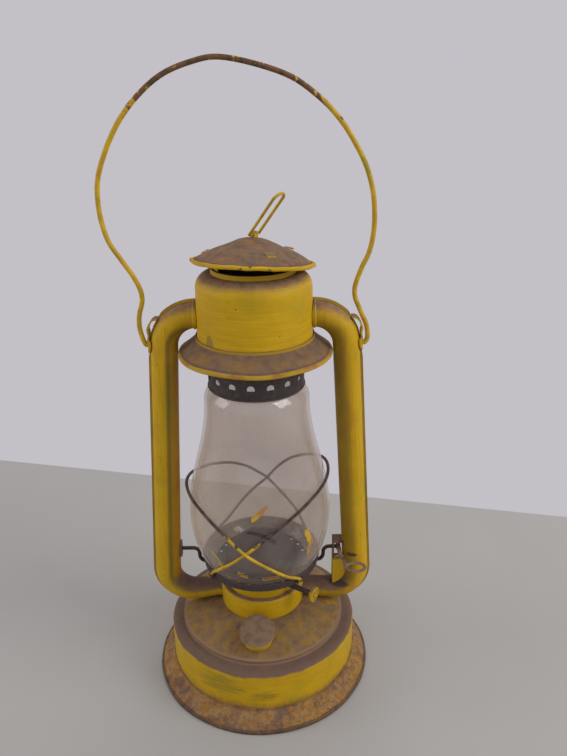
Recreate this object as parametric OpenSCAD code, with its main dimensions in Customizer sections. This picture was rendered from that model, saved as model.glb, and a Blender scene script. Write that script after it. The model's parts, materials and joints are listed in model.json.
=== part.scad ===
// Tubular oil lantern. A flared tank carries two bent air tubes, which hold a drum canopy with a brim.
// A glass globe stands on a perforated plate round the burner, and a crank wire lifts both.
// A chimney with a hood rests on the globe and slides in the canopy's neck.
// Millimetres, +Z up. The origin is the centre of the base on the table, the tubes lie along X,
// and the filler cap and the wick knob are at the front, towards -Y.

/* [Base and tank] */
// Radius of the base at its folded edge
base_r = 81.5; // [78:0.5:100]
// Height of the folded edge
edge_h = 3; // [2:0.5:4]
// Height of the collar where the flared base grips the tank wall
base_h = 13; // [11:0.5:16]
// Radius of the tank wall
tank_r = 70; // [66:0.5:74]
// Height where the tank wall ends and its shoulder starts
tank_h = 40; // [32:0.5:60]
// Radius of the rim band round the tank's top
band_r = 61; // [57:0.5:64]
// Height of the domed top above the end of the tank wall
dome_rise = 17; // [14:0.5:22]
// Thickness of the sheet metal
sheet = 0.8; // [0.6:0.1:1]

/* [Filler] */
// Distance of the filler neck from the lantern's axis, where it leaves the dome
filler_reach = 45; // [42:0.5:46]
// Direction of the filler, degrees from +X
filler_turn = -93; // [-110:1:-80]
// Lean of the filler neck outwards
filler_lean = 20; // [12:1:24]
// Outer radius of the filler neck
filler_r = 9.6; // [8:0.1:10]
// Height of the filler neck above the dome
filler_h = 7.5; // [6:0.5:9]
// Radius of the cap's top disc
cap_r = 12.8; // [12:0.1:14]

/* [Air cup and burner] */
// Radius of the air cup
cup_r = 31; // [29:0.5:34]
// Height of the air cup
cup_h = 16.5; // [16:0.5:24]
// Radius of the burner skirt
skirt_r = 26.5; // [24.5:0.5:28]
// Height of the burner skirt above the cup
skirt_rise = 15.8; // [13:0.2:20]
// Direction of the wick shaft, degrees from +X
shaft_turn = -33; // [-50:1:-25]
// Height of the wick shaft above the cup's top
shaft_h = 7; // [6:0.5:8]
// Width of the flat wick
wick_w = 20.4; // [14:0.2:22]
// Thickness of the wick
wick_t = 1.8; // [1.4:0.1:2.4]
// Radius of the wick knob
knob_r = 5.4; // [4.5:0.1:7]
// Distance of the knob's face from the lantern's axis
knob_reach = 51; // [47:0.5:54]

/* [Globe and plate] */
// Outer radius of the globe plate's rim
plate_r = 43.4; // [43:0.1:45]
// Height of the plate's rim above its floor
plate_h = 8.1; // [6:0.1:9]
// Radius of the globe's foot
foot_r = 36; // [33:0.5:37]
// Largest radius of the globe
belly_r = 51.2; // [46:0.2:53]
// Height of the largest radius above the foot
belly_h = 44; // [38:1:52]
// Radius of the globe's neck
neck_r = 36.3; // [34:0.1:38]
// Height of the neck above the foot
neck_h = 133.3; // [110:0.1:160]
// Radius of the globe's lip, inside the perforated ring
lip_r = 31.2; // [29.5:0.1:31.5]
// Height of the lip above the neck
lip_h = 14; // [12:0.5:17]
// Thickness of the glass
glass = 2; // [1.6:0.1:2.6]
// Thickness of the guard wires
guard_wire = 2.2; // [1.8:0.1:2.4]
// Number of holes in the globe plate's floor
floor_holes = 24; // [16:4:32]

/* [Chimney and hood] */
// Outer radius of the perforated ring
ring_r = 32.5; // [32.3:0.1:33.2]
// Height of the perforated ring
ring_h = 16.3; // [14:0.1:20]
// Number of holes round the ring
ring_holes = 16; // [8:1:20]
// Width of a ring hole
ring_hole_w = 5; // [3:0.2:6]
// Height of a ring hole
ring_hole_h = 3.8; // [3:0.1:5]
// Outer radius of the chimney tube
chimney_r = 26.2; // [24:0.1:26.6]
// Radius of the hood
hood_r = 40.3; // [36:0.1:46]
// Rise of the hood's outer zone
hood_rise = 13; // [9:0.5:14]
// Radius of the raised dome in the middle of the hood
hood_dome_r = 20; // [16:0.5:24]
// Height of the raised dome
hood_dome_h = 3; // [2:0.5:8]
// Gap between the canopy's top and the hood's edge
hood_gap = 4.7; // [4:0.1:9]
// How far the bent hood leans back
hood_back = 7; // [0:0.5:8]
// How far the bent hood leans to the right
hood_side = 3; // [0:0.5:4]
// Length of the lift loop
loop_l = 36; // [24:0.5:38]
// Width of the lift loop
loop_w = 11; // [9:0.5:14]
// Thickness of the lift loop's wire
loop_wire = 1.9; // [1.6:0.1:2.2]
// Direction of the lift loop's hinge, degrees from +X
loop_turn = 50; // [0:1:90]
// Lean of the lift loop at rest
loop_lean = 41; // [0:1:60]

/* [Canopy] */
// Radius of the canopy at its foot
canopy_r = 38.6; // [38:0.1:42]
// How much narrower the canopy is at its shoulder
canopy_taper = 0.8; // [0:0.1:1.5]
// Height of the canopy
canopy_h = 49.3; // [46:0.1:60]
// Radius of the canopy's rounded shoulder
shoulder_r = 9.5; // [7:0.5:10]
// Distance from the perforated ring's top to the canopy's foot
canopy_gap = 12; // [10:0.5:16]
// Radius of the brim
brim_r = 51.5; // [47:0.5:54]
// How far the brim's edge hangs below the canopy's foot
brim_drop = 5.4; // [3:0.2:7]
// Height of the neck on the canopy's top
collar_h = 3; // [2:0.5:4]

/* [Side tubes] */
// Distance of the tubes' upper corner from the middle
corner_top = 59.2; // [59:0.2:66]
// Distance of the tubes' lower corner from the middle
corner_foot = 72.4; // [71:0.2:78]
// Height of the upper tubes above the canopy's foot
tube_top_h = 21; // [20:0.5:26]
// Radius of the upper tube
tube_r = 9; // [8.4:0.1:9.4]
// Radius of the leg at its lower end
leg_r = 9.4; // [9:0.1:10]
// Radius of the tube where it enters the air cup
tube_foot_r = 7.2; // [6.5:0.1:7.6]
// How far the lower tube dips between the air cup and its corner
foot_dip = 2; // [0:0.1:2.2]
// Bend radius of the upper corners
bend_r = 22; // [18:0.5:22.5]
// Bend radius of the lower corners
foot_bend_r = 19; // [16:0.5:22]
// Thickness of the tube wall
tube_wall = 0.8; // [0.6:0.1:1.2]
// Height of the folded seam on the outer side
seam_h = 1.8; // [1:0.1:2]
// Thickness of the folded seam
seam_t = 1.7; // [1.2:0.1:2.2]

/* [Bail] */
// Thickness of the bail wire
bail_wire = 3.2; // [2.4:0.1:3.4]
// Distance of the bail's pivot below the upper tubes' axis
pivot_drop = 21; // [19:0.5:24]
// Width of an ear strap
ear_w = 8; // [6:0.5:8.5]
// Thickness of an ear strap
ear_t = 1; // [0.8:0.1:1.2]

/* [Globe lift] */
// Thickness of the crank wire
crank_wire = 2.8; // [2.2:0.1:3]
// Height of the crank's axis above the globe plate's floor
crank_h = 9.4; // [8:0.2:12]
// Radius of the hoop behind the burner
hoop_r = 28.5; // [28:0.1:30]
// Half length of the finger loop, to the middle of its strip
finger_a = 7; // [6.4:0.1:8]
// Half width of the finger loop, to the middle of its strip
finger_b = 5; // [4.4:0.1:5.6]
// Width of the lever's strip
strip_w = 2.8; // [2.2:0.1:3.2]

/* [Hidden] */

$fn = 96;
fit = 0.1;          // running clearance of a wire or shaft in its hole, on the radius
gap = 0.3;          // clearance between pieces that lie next to each other
slip = 0.05;        // clearance of a soldered piece in its hole, on the radius

// Heights, each from the piece below
cup_z = tank_h + dome_rise;
cup_top = cup_z + cup_h;
skirt_top = cup_top + skirt_rise;
plate_z = skirt_top + gap;
plate_top = plate_z + sheet;
globe_z = plate_top + gap;
globe_h = neck_h + lip_h;
ring_lap = 4.3;     // how far the ring hangs over the globe's lip
ring_z = globe_z + globe_h - ring_lap;
ring_top = ring_z + ring_h;
canopy_z = ring_top + canopy_gap;
canopy_top = canopy_z + canopy_h;
neck_top = canopy_top + collar_h;
hood_z = canopy_top + hood_gap;
tube_top_z = canopy_z + tube_top_h;
tube_foot_z = cup_z + tube_foot_r + 0.5;
corner_z = tube_foot_z - foot_dip;
pivot_z = tube_top_z - pivot_drop;
crank_z = plate_z + crank_h + 0.5;
shaft_z = cup_top + shaft_h;

// Colours
yellow = [0.80, 0.65, 0.10];
dusty = [0.58, 0.47, 0.22];
rust = [0.42, 0.30, 0.22];
dark = [0.25, 0.22, 0.21];
brass = [0.72, 0.58, 0.28];
clear = [0.80, 0.82, 0.86, 0.35];
cotton = [0.85, 0.82, 0.74];

function unit(v) = v / norm(v);
function polar(r, a, z) = [r * cos(a), r * sin(a), z];
function tangent(p, i, closed) = let (n = len(p))
    closed ? unit(p[(i + 1) % n] - p[(i + n - 1) % n]) : unit(p[min(i + 1, n - 1)] - p[max(i - 1, 0)]);
function wire_ring(p, i, r, r2, sides, ref, closed) =
    let (t = tangent(p, i, closed), s = unit(cross(ref, t)), u = cross(t, s))
    [for (k = [0:sides - 1]) p[i] + r * cos(360 * k / sides) * s + r2 * sin(360 * k / sides) * u];
function spline_point(a, b, c, d, t) = 0.5 * ((2 * b) + (c - a) * t + (2 * a - 5 * b + 4 * c - d) * t * t
    + (3 * b - a - 3 * c + d) * t * t * t);
function spline(p, n) = let (m = len(p) - 1) concat(
    [for (i = [0:m - 1], k = [0:n - 1])
        spline_point(p[max(i - 1, 0)], p[i], p[i + 1], p[min(i + 2, m)], k / n)], [p[m]]);

// Wire of radius r along the points p. ref is a direction that the wire never runs along. With r2 the wire
// is flattened: r is its half width across ref, and r2 its half thickness along ref.
module wire(p, r, ref, sides = 10, closed = false, r2 = -1) {
    n = len(p);
    last = closed ? n - 1 : n - 2;
    rings = [for (i = [0:n - 1]) each wire_ring(p, i, r, r2 < 0 ? r : r2, sides, ref, closed)];
    around = [for (i = [0:last], k = [0:sides - 1]) let (j = (i + 1) % n, l = (k + 1) % sides)
        [i * sides + k, j * sides + k, j * sides + l, i * sides + l]];
    caps = closed ? [] : [[for (k = [0:sides - 1]) k], [for (k = [sides - 1:-1:0]) (n - 1) * sides + k]];
    polyhedron(points = rings, faces = concat(around, caps), convexity = 6);
}

// Cylinder along X from x0 to x1
module bar_x(x0, x1, r, r2 = -1) {
    translate([x0, 0, 0]) rotate([0, 90, 0]) cylinder(h = x1 - x0, r1 = r, r2 = r2 < 0 ? r : r2);
}

// Flat ring from radius a to b, between the heights z0 and z1
module washer(a, b, z0, z1) {
    translate([0, 0, z0]) difference() {
        cylinder(h = z1 - z0, r = b);
        translate([0, 0, -1]) cylinder(h = z1 - z0 + 2, r = a);
    }
}

// Base and tank

collar_in = tank_r + slip;
collar_out = collar_in + sheet;
bottom_z = base_h - 5;

module base_skirt() {
    color(rust) rotate_extrude() polygon([
        [collar_in, bottom_z], [collar_in, base_h], [collar_out, base_h], [collar_out, base_h - 1.4],
        [base_r - 2, edge_h], [base_r - 0.5, edge_h], [base_r, edge_h - 0.5], [base_r, 0.5],
        [base_r - 0.5, 0], [base_r - 2, 0], [base_r - 2.4, 0.4], [base_r - 2.4, edge_h - 0.9],
        [collar_out, base_h - 2.7], [collar_out, bottom_z]]);
}

module tank_bottom() {
    color(rust) translate([0, 0, bottom_z]) cylinder(h = sheet, r = tank_r - sheet - slip);
}

// Height of the domed tank top's outer face at radius r
dome_foot_z = tank_h + 7.2;
function dome_z(r) = cup_z - (cup_z - dome_foot_z) * pow(max(0, (r - cup_r) / (band_r - cup_r)), 1.5);
tank_out = concat(
    [[tank_r, bottom_z], [tank_r, tank_h]],
    [for (a = [20:20:80]) [tank_r - 3.5 + 3.5 * cos(a), tank_h + 3.5 * sin(a)]],
    [[band_r + 0.6, tank_h + 3.8], [band_r - 0.4, tank_h + 4.6], [band_r - 0.4, tank_h + 5.4],
     [band_r, tank_h + 6.2], [band_r, tank_h + 6.8]],
    [for (k = [0:6]) let (r = band_r - (band_r - cup_r) * k / 6) [r, dome_z(r)]]);
tank_in = concat(
    [[tank_r - sheet, bottom_z], [tank_r - sheet, tank_h]],
    [for (a = [30:30:60]) [tank_r - 3.5 + 2.7 * cos(a), tank_h + 2.7 * sin(a)]],
    [[band_r - 0.6, tank_h + 2.7], [band_r - 1.4, tank_h + 4.2]],
    [for (k = [0:6]) let (r = band_r - 1.4 - (band_r - 1.4 - cup_r) * k / 6) [r, dome_z(r) - sheet - 0.1]]);
tank_hole_r = 18;

module tank_shell() {
    color(yellow) difference() {
        rotate_extrude() polygon(concat(
            tank_out, [[tank_hole_r, cup_z], [tank_hole_r, cup_z - sheet]],
            [for (i = [len(tank_in) - 1:-1:0]) tank_in[i]]));
        at_filler() translate([0, 0, -12]) cylinder(h = 20, r = filler_r + slip);
    }
}

collar_top = cup_z + 3;
module tank_collar() {
    color(brass) {
        washer(15.2, tank_hole_r - slip, cup_z - 4, collar_top);
        washer(tank_hole_r - slip, 20.5, cup_z, cup_z + sheet);
    }
}

// Filler

module at_filler() {
    rotate([0, 0, filler_turn]) translate([filler_reach, 0, dome_z(filler_reach)])
        rotate([0, filler_lean, 0]) children();
}
gasket_t = 1.2;
cap_in_z = filler_h + 0.1 + gasket_t;

module filler_neck() {
    color(yellow) at_filler() difference() {
        union() {
            translate([0, 0, -5]) cylinder(h = filler_h + 5, r = filler_r);
            translate([0, 0, 0.2]) cylinder(h = 1.2, r = filler_r + 1);
        }
        translate([0, 0, -6]) cylinder(h = filler_h + 7, r = filler_r - 1);
    }
}

module cap_gasket() {
    color([0.55, 0.42, 0.28]) at_filler() translate([0, 0, filler_h + 0.1])
        cylinder(h = gasket_t - 0.1, r = filler_r - 0.2);
}

module filler_cap() {
    skirt_out = filler_r + gap + 1.5;
    color(dusty) at_filler() difference() {
        union() {
            translate([0, 0, filler_h - 3.9]) cylinder(h = 5.4, r = skirt_out);
            rotate_extrude() polygon([[0, cap_in_z - 0.4], [cap_r - 0.4, cap_in_z - 0.4], [cap_r, cap_in_z],
                [cap_r, cap_in_z + 0.9], [cap_r - 0.8, cap_in_z + 1.6], [cap_r - 2.5, cap_in_z + 1.9],
                [0, cap_in_z + 1.9]]);
        }
        translate([0, 0, filler_h - 4.9]) cylinder(h = cap_in_z - filler_h + 4.9, r = filler_r + gap);
        for (a = [0:30:330]) rotate([0, 0, a]) translate([cap_r + 0.5, 0, cap_in_z - 1])
            cylinder(h = 4, r = 0.8, $fn = 24);
    }
}

// Air cup and burner

module air_cup() {
    color(yellow) difference() {
        rotate_extrude() polygon([
            [cup_r, cup_z + slip], [cup_r, cup_top - 0.8], [cup_r - 0.8, cup_top], [skirt_r + fit, cup_top],
            [skirt_r + fit, cup_top - sheet], [cup_r - sheet, cup_top - sheet],
            [cup_r - sheet, cup_z + slip]]);
        for (s = [-1, 1]) translate([0, 0, tube_foot_z])
            bar_x(s < 0 ? -cup_r - 5 : 5, s < 0 ? -5 : cup_r + 5, tube_foot_r + slip);
    }
}

module at_burner() {
    rotate([0, 0, shaft_turn]) children();
}
burner_flange_r = skirt_r - sheet - slip;
slot_w = wick_w + 1.6;
slot_t = wick_t + 1.6;

module burner_base() {
    color(brass) difference() {
        union() {
            translate([0, 0, collar_top]) cylinder(h = sheet, r = burner_flange_r);
            translate([0, 0, cup_z - 3.5]) cylinder(h = collar_top - cup_z + 3.5, r = 15.1);
        }
        translate([0, 0, cup_z - 4]) cylinder(h = collar_top - cup_z + 4, r = 13.4);
        at_burner() translate([0, 0, collar_top]) cube([slot_w + fit, slot_t + fit, 4], center = true);
        for (a = [15:30:345]) rotate([0, 0, a]) translate([20, 0, collar_top - 1])
            cylinder(h = 4, r = 1.5, $fn = 24);
    }
}

shaft_y = -(wick_t / 2 + gap + 4.2);
shaft_r = 1.3;
bearing_r = 2;

module burner_skirt() {
    color(yellow) difference() {
        washer(skirt_r - sheet, skirt_r, collar_top, skirt_top);
        at_burner() translate([0, shaft_y, shaft_z]) bar_x(5, skirt_r + 5, bearing_r + slip);
    }
}

wick_tube_top = plate_z + 7;
module wick_tube() {
    color(brass) at_burner() difference() {
        translate([-slot_w / 2, -slot_t / 2, cup_z - 3]) cube([slot_w, slot_t, wick_tube_top - cup_z + 3]);
        translate([-slot_w / 2 + 0.5, -slot_t / 2 + 0.5, cup_z - 4])
            cube([slot_w - 1, slot_t - 1, wick_tube_top - cup_z + 5]);
        for (x = wheel_x) translate([x - 1.3, -slot_t / 2 - 1, shaft_z - 5]) cube([2.6, 1.8, 10]);
    }
}

module shaft_bearing() {
    reach = knob_reach - 5.4;
    color(brass) at_burner() difference() {
        union() {
            translate([0, shaft_y, shaft_z]) bar_x(skirt_r - 4, reach, bearing_r);
            translate([-slot_w / 2 + 0.2, shaft_y - 2.6, shaft_z - 2.6])
                cube([1, -slot_t / 2 - slip - shaft_y + 2.6, 5.2]);
        }
        translate([0, shaft_y, shaft_z]) bar_x(-slot_w, reach + 1, shaft_r + fit);
    }
}

wick_top = wick_tube_top + 1.5;
wick_foot = base_h + 7;
module wick() {
    color(cotton) at_burner() translate([-wick_w / 2, -wick_t / 2, wick_foot])
        cube([wick_w, wick_t, wick_top - wick_foot]);
}

module wick_shaft() {
    color(brass) at_burner() translate([0, shaft_y, shaft_z])
        bar_x(-slot_w / 2 - 0.6, knob_reach - 2.6, shaft_r);
}

wheel_x = [-wick_w / 4 - 1, 0, wick_w / 4 + 1];
wheel_r = 4.2;
module wick_wheels() {
    tip = wheel_r - 0.05;
    color(brass) at_burner() for (x = wheel_x) translate([x, shaft_y, shaft_z]) rotate([0, 90, 0])
        difference() {
            linear_extrude(1.6, center = true) union() {
                circle(r = wheel_r - 1);
                for (a = [0:30:330]) rotate(a) polygon([[0, -0.9], [tip, -0.25], [tip, 0.25], [0, 0.9]]);
            }
            cylinder(h = 4, r = shaft_r + 0.005, center = true);
        }
}

module wick_knob() {
    color(yellow) at_burner() translate([0, shaft_y, shaft_z]) difference() {
        union() {
            bar_x(knob_reach - 5, knob_reach - 1.6, 2.3);
            bar_x(knob_reach - 2.6, knob_reach - 1.6, knob_r);
            translate([knob_reach - 1.7, 0, 0]) rotate([0, 90, 0]) difference() {
                cylinder(h = 0.9, r = knob_r);
                translate([0, 0, -1]) cylinder(h = 3, r = knob_r - 0.9);
            }
            bar_x(knob_reach - 1.7, knob_reach, 2, 1.4);
        }
        bar_x(knob_reach - 10, knob_reach - 2.5, shaft_r + 0.005);
    }
}

// Side tubes. Each leg leans outwards from the upper corner to the lower one.

leg_lean = atan2(corner_foot - corner_top, tube_top_z - corner_z);
turn_top = 90 - leg_lean;
turn_foot = 90 + leg_lean;
bend_top = [corner_top - bend_r * tan(turn_top / 2), tube_top_z - bend_r];
bend_foot = [corner_foot - foot_bend_r * tan(turn_foot / 2), corner_z + foot_bend_r];
leg_top = bend_top + bend_r * [cos(leg_lean), sin(leg_lean)];
leg_foot = bend_foot + foot_bend_r * [cos(leg_lean), sin(leg_lean)];
leg_l = norm(leg_top - leg_foot);
tube_in_canopy = canopy_r - canopy_taper - 1;
tube_in_cup = cup_r - sheet - 0.4;
function leg_x(z) = corner_top + (tube_top_z - z) * tan(leg_lean);
function leg_r_at(z) = tube_r + (leg_r - tube_r) * (leg_top[1] - z) / (leg_top[1] - leg_foot[1]);

lean_dir = [cos(leg_lean), sin(leg_lean)];
ear_seam = 0.8;     // height of the seam where an ear lies over it
ear_off = ear_seam + slip;
pin_x = leg_x(pivot_z) + tube_r + ear_off + ear_t;
pin_r = bail_wire / 2;
pin_tip = leg_x(pivot_z) + tube_r - 2.2;
ear_low = pivot_z - 5;
// Angle on the upper bend at height h above the pivot
function ear_angle(h) = asin(min(0.95, (pivot_z + h - bend_top[1]) / (bend_r + tube_r + ear_off)));
ear_turn = ear_angle(19) + 3;

// The right tube is swept through rings. Each ring is [centre, outward direction, radius, seam height],
// with the first two in X and Z.
no_seam = 0.02;
function bend_ring(centre, b, a, r, h) = [centre + b * [cos(a), sin(a)], [cos(a), sin(a)], r, h];
function leg_ring(z, h) = [[leg_x(z), z], lean_dir, leg_r_at(z), h];
function foot_r_at(a) = leg_r - 1.2 * pow((leg_lean - a) / turn_foot, 2);
tube_rings = concat(
    [[[tube_in_canopy, tube_top_z], [0, 1], tube_r, seam_h]],
    [for (a = [90:-8:ear_turn + 4]) bend_ring(bend_top, bend_r, a, tube_r, seam_h)],
    [bend_ring(bend_top, bend_r, ear_turn, tube_r, seam_h)],
    [for (k = [0:4]) let (a = ear_turn - 0.5 - (ear_turn - 0.5 - leg_lean) * k / 4)
        bend_ring(bend_top, bend_r, a, tube_r, ear_seam)],
    [leg_ring(ear_low - 0.8, ear_seam), leg_ring(ear_low - 1.2, seam_h)],
    [for (k = [0:9]) let (a = leg_lean - turn_foot * k / 9)
        bend_ring(bend_foot, foot_bend_r, a, foot_r_at(a), k < 8 ? seam_h : no_seam)],
    [[[cup_r + 13, tube_foot_z - foot_dip * 0.8], [0, -1], tube_foot_r + 0.55, no_seam],
     [[cup_r + 7, tube_foot_z - foot_dip * 0.35], [0, -1], tube_foot_r + 0.2, no_seam],
     [[cup_r + 2.5, tube_foot_z], [0, -1], tube_foot_r, no_seam],
     [[tube_in_cup, tube_foot_z], [0, -1], tube_foot_r, no_seam]]);

tube_sides = 22;
function section(r, h) = let (a0 = asin(seam_t / 2 / r)) concat(
    [for (k = [0:tube_sides - 1]) let (a = a0 + (360 - 2 * a0) * k / (tube_sides - 1)) r * [cos(a), sin(a)]],
    [[r + h, -seam_t / 2], [r + h, seam_t / 2]]);
function section_in(r) = [for (k = [0:tube_sides + 1]) let (a = 4 + 352 * k / (tube_sides + 1))
    r * [cos(a), sin(a)]];
// Point q of a section, set on its ring
function place(ring, q) = [ring[0][0] + q[0] * ring[1][0], q[1], ring[0][1] + q[0] * ring[1][1]];

module tube_shell() {
    n = len(tube_rings);
    m = tube_sides + 2;
    points = concat([for (g = tube_rings, q = section(g[2], g[3])) place(g, q)],
        [for (g = tube_rings, q = section_in(g[2] - tube_wall)) place(g, q)]);
    inside = n * m;
    walls = [for (i = [0:n - 2], k = [0:m - 1]) let (l = (k + 1) % m) each [
        [i * m + k, i * m + l, (i + 1) * m + l, (i + 1) * m + k],
        [inside + i * m + k, inside + (i + 1) * m + k, inside + (i + 1) * m + l, inside + i * m + l]]];
    rims = [for (i = [0, n - 1], k = [0:m - 1]) let (l = (k + 1) % m, f = [i * m + k, inside + i * m + k,
        inside + i * m + l, i * m + l]) i == 0 ? f : [f[3], f[2], f[1], f[0]]];
    polyhedron(points = points, faces = concat(walls, rims), convexity = 6);
}
// Point of the leg's outer side at height z, in X and Z
function leg_surface(z) = [leg_x(z) + leg_r_at(z) / cos(leg_lean), z];

// The right tube, with the hole for the bail's end. hole_z is the height of a crank hole, or 0 for none.
module side_tube(hole_z) {
    difference() {
        tube_shell();
        translate([0, 0, pivot_z]) bar_x(leg_x(pivot_z), pin_x + 5, pin_r + fit);
        if (hole_z > 0) translate([0, 0, hole_z])
            bar_x(leg_x(hole_z) - 15, leg_x(hole_z), crank_wire / 2 + fit);
    }
}

// Solid of the right tube without its seam, to trim what stands against it
module tube_body() {
    n = len(tube_rings);
    m = 48;
    around = [for (i = [0:n - 2], k = [0:m - 1]) let (l = (k + 1) % m)
        [i * m + k, i * m + l, (i + 1) * m + l, (i + 1) * m + k]];
    polyhedron(points = [for (g = tube_rings, k = [0:m - 1])
            place(g, (g[2] + slip) * [cos(360 * k / m), sin(360 * k / m)])],
        faces = concat(around, [[for (k = [m - 1:-1:0]) k], [for (k = [0:m - 1]) (n - 1) * m + k]]),
        convexity = 6);
}

// Solid of the right leg alone
module leg_body() {
    translate([leg_foot[0], 0, leg_foot[1]]) rotate([0, -leg_lean, 0])
        cylinder(h = leg_l, r1 = leg_r + slip, r2 = tube_r + slip);
}

module left_tube() {
    color(yellow) mirror([1, 0, 0]) side_tube(crank_z);
}

module right_tube() {
    color(yellow) side_tube(0);
}

module tube_collars() {
    color(yellow) for (s = [0, 1]) mirror([s, 0, 0]) difference() {
        translate([0, 0, tube_top_z]) {
            bar_x(canopy_r - 3, canopy_r + 0.7, tube_r + 0.9);
            bar_x(canopy_r + 0.7, canopy_r + 1.4, tube_r + 0.9, tube_r + 0.4);
        }
        translate([0, 0, tube_top_z]) bar_x(canopy_r - 5, canopy_r + 4, tube_r + slip);
        translate([0, 0, canopy_z]) cylinder(h = canopy_h, r = canopy_r);
        translate([canopy_r - 5, -seam_t / 2 - slip, tube_top_z]) cube([10, seam_t + 2 * slip, tube_r + 5]);
    }
}

// Inner line of the right ear in X and Z. It rises from the leg, bulges above the pin and ends on the bend.
// Below it a tongue lies round the tube.
function bend_surface(a, r) = bend_top + (bend_r + tube_r + r) * [cos(a), sin(a)];
function beside(p, d) = [for (i = [0:len(p) - 1])
    let (t = unit(p[min(i + 1, len(p) - 1)] - p[max(i - 1, 0)])) p[i] + d * [t[1], -t[0]]];
ear_inner = let (x = pin_x - ear_t, z = pivot_z) concat([[x, z]],
    spline([[x, z + 3.6], [x - 0.8, z + 7.2], [x - 0.6, z + 9.4], [x - 0.3, z + 11.6], [x - 1.1, z + 13.8],
        [x - 2.3, z + 15.9], [x - 3.7, z + 17.4], [x - 4.9, z + 18]], 2));

module bail_ears() {
    r = leg_r_at(pivot_z) + ear_off;
    outer = concat(beside(ear_inner, ear_t), [for (h = [19, 18]) bend_surface(ear_angle(h), ear_off)]);
    color(dusty) for (s = [0, 1]) mirror([s, 0, 0]) difference() {
        union() {
            rotate([90, 0, 0]) linear_extrude(ear_w, center = true)
                polygon(concat(outer, [for (i = [len(ear_inner) - 1:-1:0]) ear_inner[i]]));
            intersection() {
                translate([leg_x(pivot_z), 0, pivot_z]) rotate([0, -leg_lean, 0]) washer(r, r + ear_t, -20, 20);
                translate([leg_x(pivot_z), 0, 0]) rotate([90, 0, 90]) linear_extrude(2 * r) hull() {
                    translate([0, ear_low + 5.5]) circle(r = 5.5, $fn = 48);
                    translate([-5.5, pivot_z + 3]) square([11, 1]);
                }
            }
        }
        translate([0, 0, pivot_z]) bar_x(pin_x - 8, pin_x + 5, pin_r + fit);
    }
}

// Canopy

canopy_up_r = canopy_r - canopy_taper;
shoulder_z = canopy_top - shoulder_r;
shoulder_x = canopy_up_r - shoulder_r;
collar_r = chimney_r + 0.5;
spring_wire = 0.8;
spring_r = collar_r + sheet + spring_wire + 0.9;

module canopy_shell() {
    flange_r = ring_r + 2.1;
    in_r = shoulder_r - sheet;
    color(yellow) difference() {
        rotate_extrude() polygon(concat(
            [[flange_r, canopy_z], [canopy_r, canopy_z], [canopy_up_r, shoulder_z]],
            [for (a = [10:10:80]) [shoulder_x + shoulder_r * cos(a), shoulder_z + shoulder_r * sin(a)]],
            [[shoulder_x, canopy_top], [collar_r + sheet, canopy_top], [collar_r + sheet, neck_top],
             [collar_r, neck_top], [collar_r, canopy_top - sheet], [shoulder_x, canopy_top - sheet]],
            [for (a = [80:-10:10]) [shoulder_x + in_r * cos(a), shoulder_z + in_r * sin(a)]],
            [[canopy_up_r - sheet, shoulder_z], [canopy_r - sheet, canopy_z + sheet],
             [flange_r, canopy_z + sheet]]));
        for (s = [0, 1]) mirror([s, 0, 0]) translate([0, 0, tube_top_z])
            bar_x(10, canopy_r + 5, tube_r + slip);
        for (s = [0, 1]) mirror([s, 0, 0]) translate([0, -seam_t / 2 - slip, tube_top_z])
            cube([canopy_r + 5, seam_t + 2 * slip, tube_r + seam_h + slip]);
    }
}

module canopy_brim() {
    in_r = canopy_r + slip;
    low = canopy_z - brim_drop;
    color(dusty) rotate_extrude() {
        translate([brim_r - 1.3, low + 1.3]) circle(r = 1.3, $fn = 32);
        polygon([[brim_r - 1.4, low + 1.6], [brim_r - 1.0, low + 2.4], [in_r + sheet + 0.4, canopy_z + 5.6],
            [in_r + sheet, canopy_z + 6.2], [in_r + sheet, canopy_z + 8], [in_r, canopy_z + 8],
            [in_r, canopy_z + 5]]);
    }
}

spring_turns = 7;
spring_z0 = ring_top + spring_wire + 0.15;
spring_z1 = canopy_top - sheet - spring_wire - 0.15;
module chimney_spring() {
    steps = 24;
    path = [for (i = [0:spring_turns * steps]) let (t = i / (spring_turns * steps))
        polar(spring_r, 360 * i / steps, spring_z0 + (spring_z1 - spring_z0) * t)];
    color(dark) wire(path, spring_wire, [0, 0, 1], 6);
}

// Globe lift. The crank wire turns in the left tube and in the bracket on the right tube.

journal_r = crank_wire / 2;
arm_x = plate_r + 3.6;
hoop_z = plate_z - journal_r - gap - 0.1;
bracket_x = leg_x(crank_z) - leg_r_at(crank_z) - 7.2;
bracket_low = corner_z + 4;         // inside the tube, which trims the sheets
bracket_high = crank_z + 7.2;
bracket_lip = crank_z - 3.4;        // height of the front sheet's upper edge
bracket_depth = 10;
eyelet_x = bracket_x + 3.4;
eyelet_z = bracket_lip - 2.5;
eyelet_r = 1.5;

// Folded sheet in the corner of the right tube: a side with the crank's hole, a front and a top
module crank_bracket() {
    reach = 18;
    color(dark) difference() {
        translate([bracket_x, -bracket_depth / 2, 0]) union() {
            translate([0, 0, bracket_low]) cube([1, bracket_depth, bracket_high - bracket_low]);
            translate([0, 0, bracket_high - 1]) cube([reach, bracket_depth, 1]);
            translate([0, 0, bracket_low]) cube([reach, 1, bracket_lip - bracket_low]);
        }
        tube_body();
        translate([leg_x(crank_z), -bracket_depth, bracket_low - 5]) cube([30, 2 * bracket_depth, 60]);
        translate([0, 0, crank_z]) bar_x(bracket_x - 5, bracket_x + 5, journal_r + fit);
        translate([eyelet_x, 0, eyelet_z]) rotate([90, 0, 0]) cylinder(h = 20, r = eyelet_r, $fn = 32);
    }
}

module bracket_eyelet() {
    color(brass) translate([eyelet_x, -bracket_depth / 2, eyelet_z]) rotate([90, 0, 0]) {
        washer(0.9, eyelet_r, -1.3, 0);
        washer(0.9, 2.1, 0, 0.6);
    }
}

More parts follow.
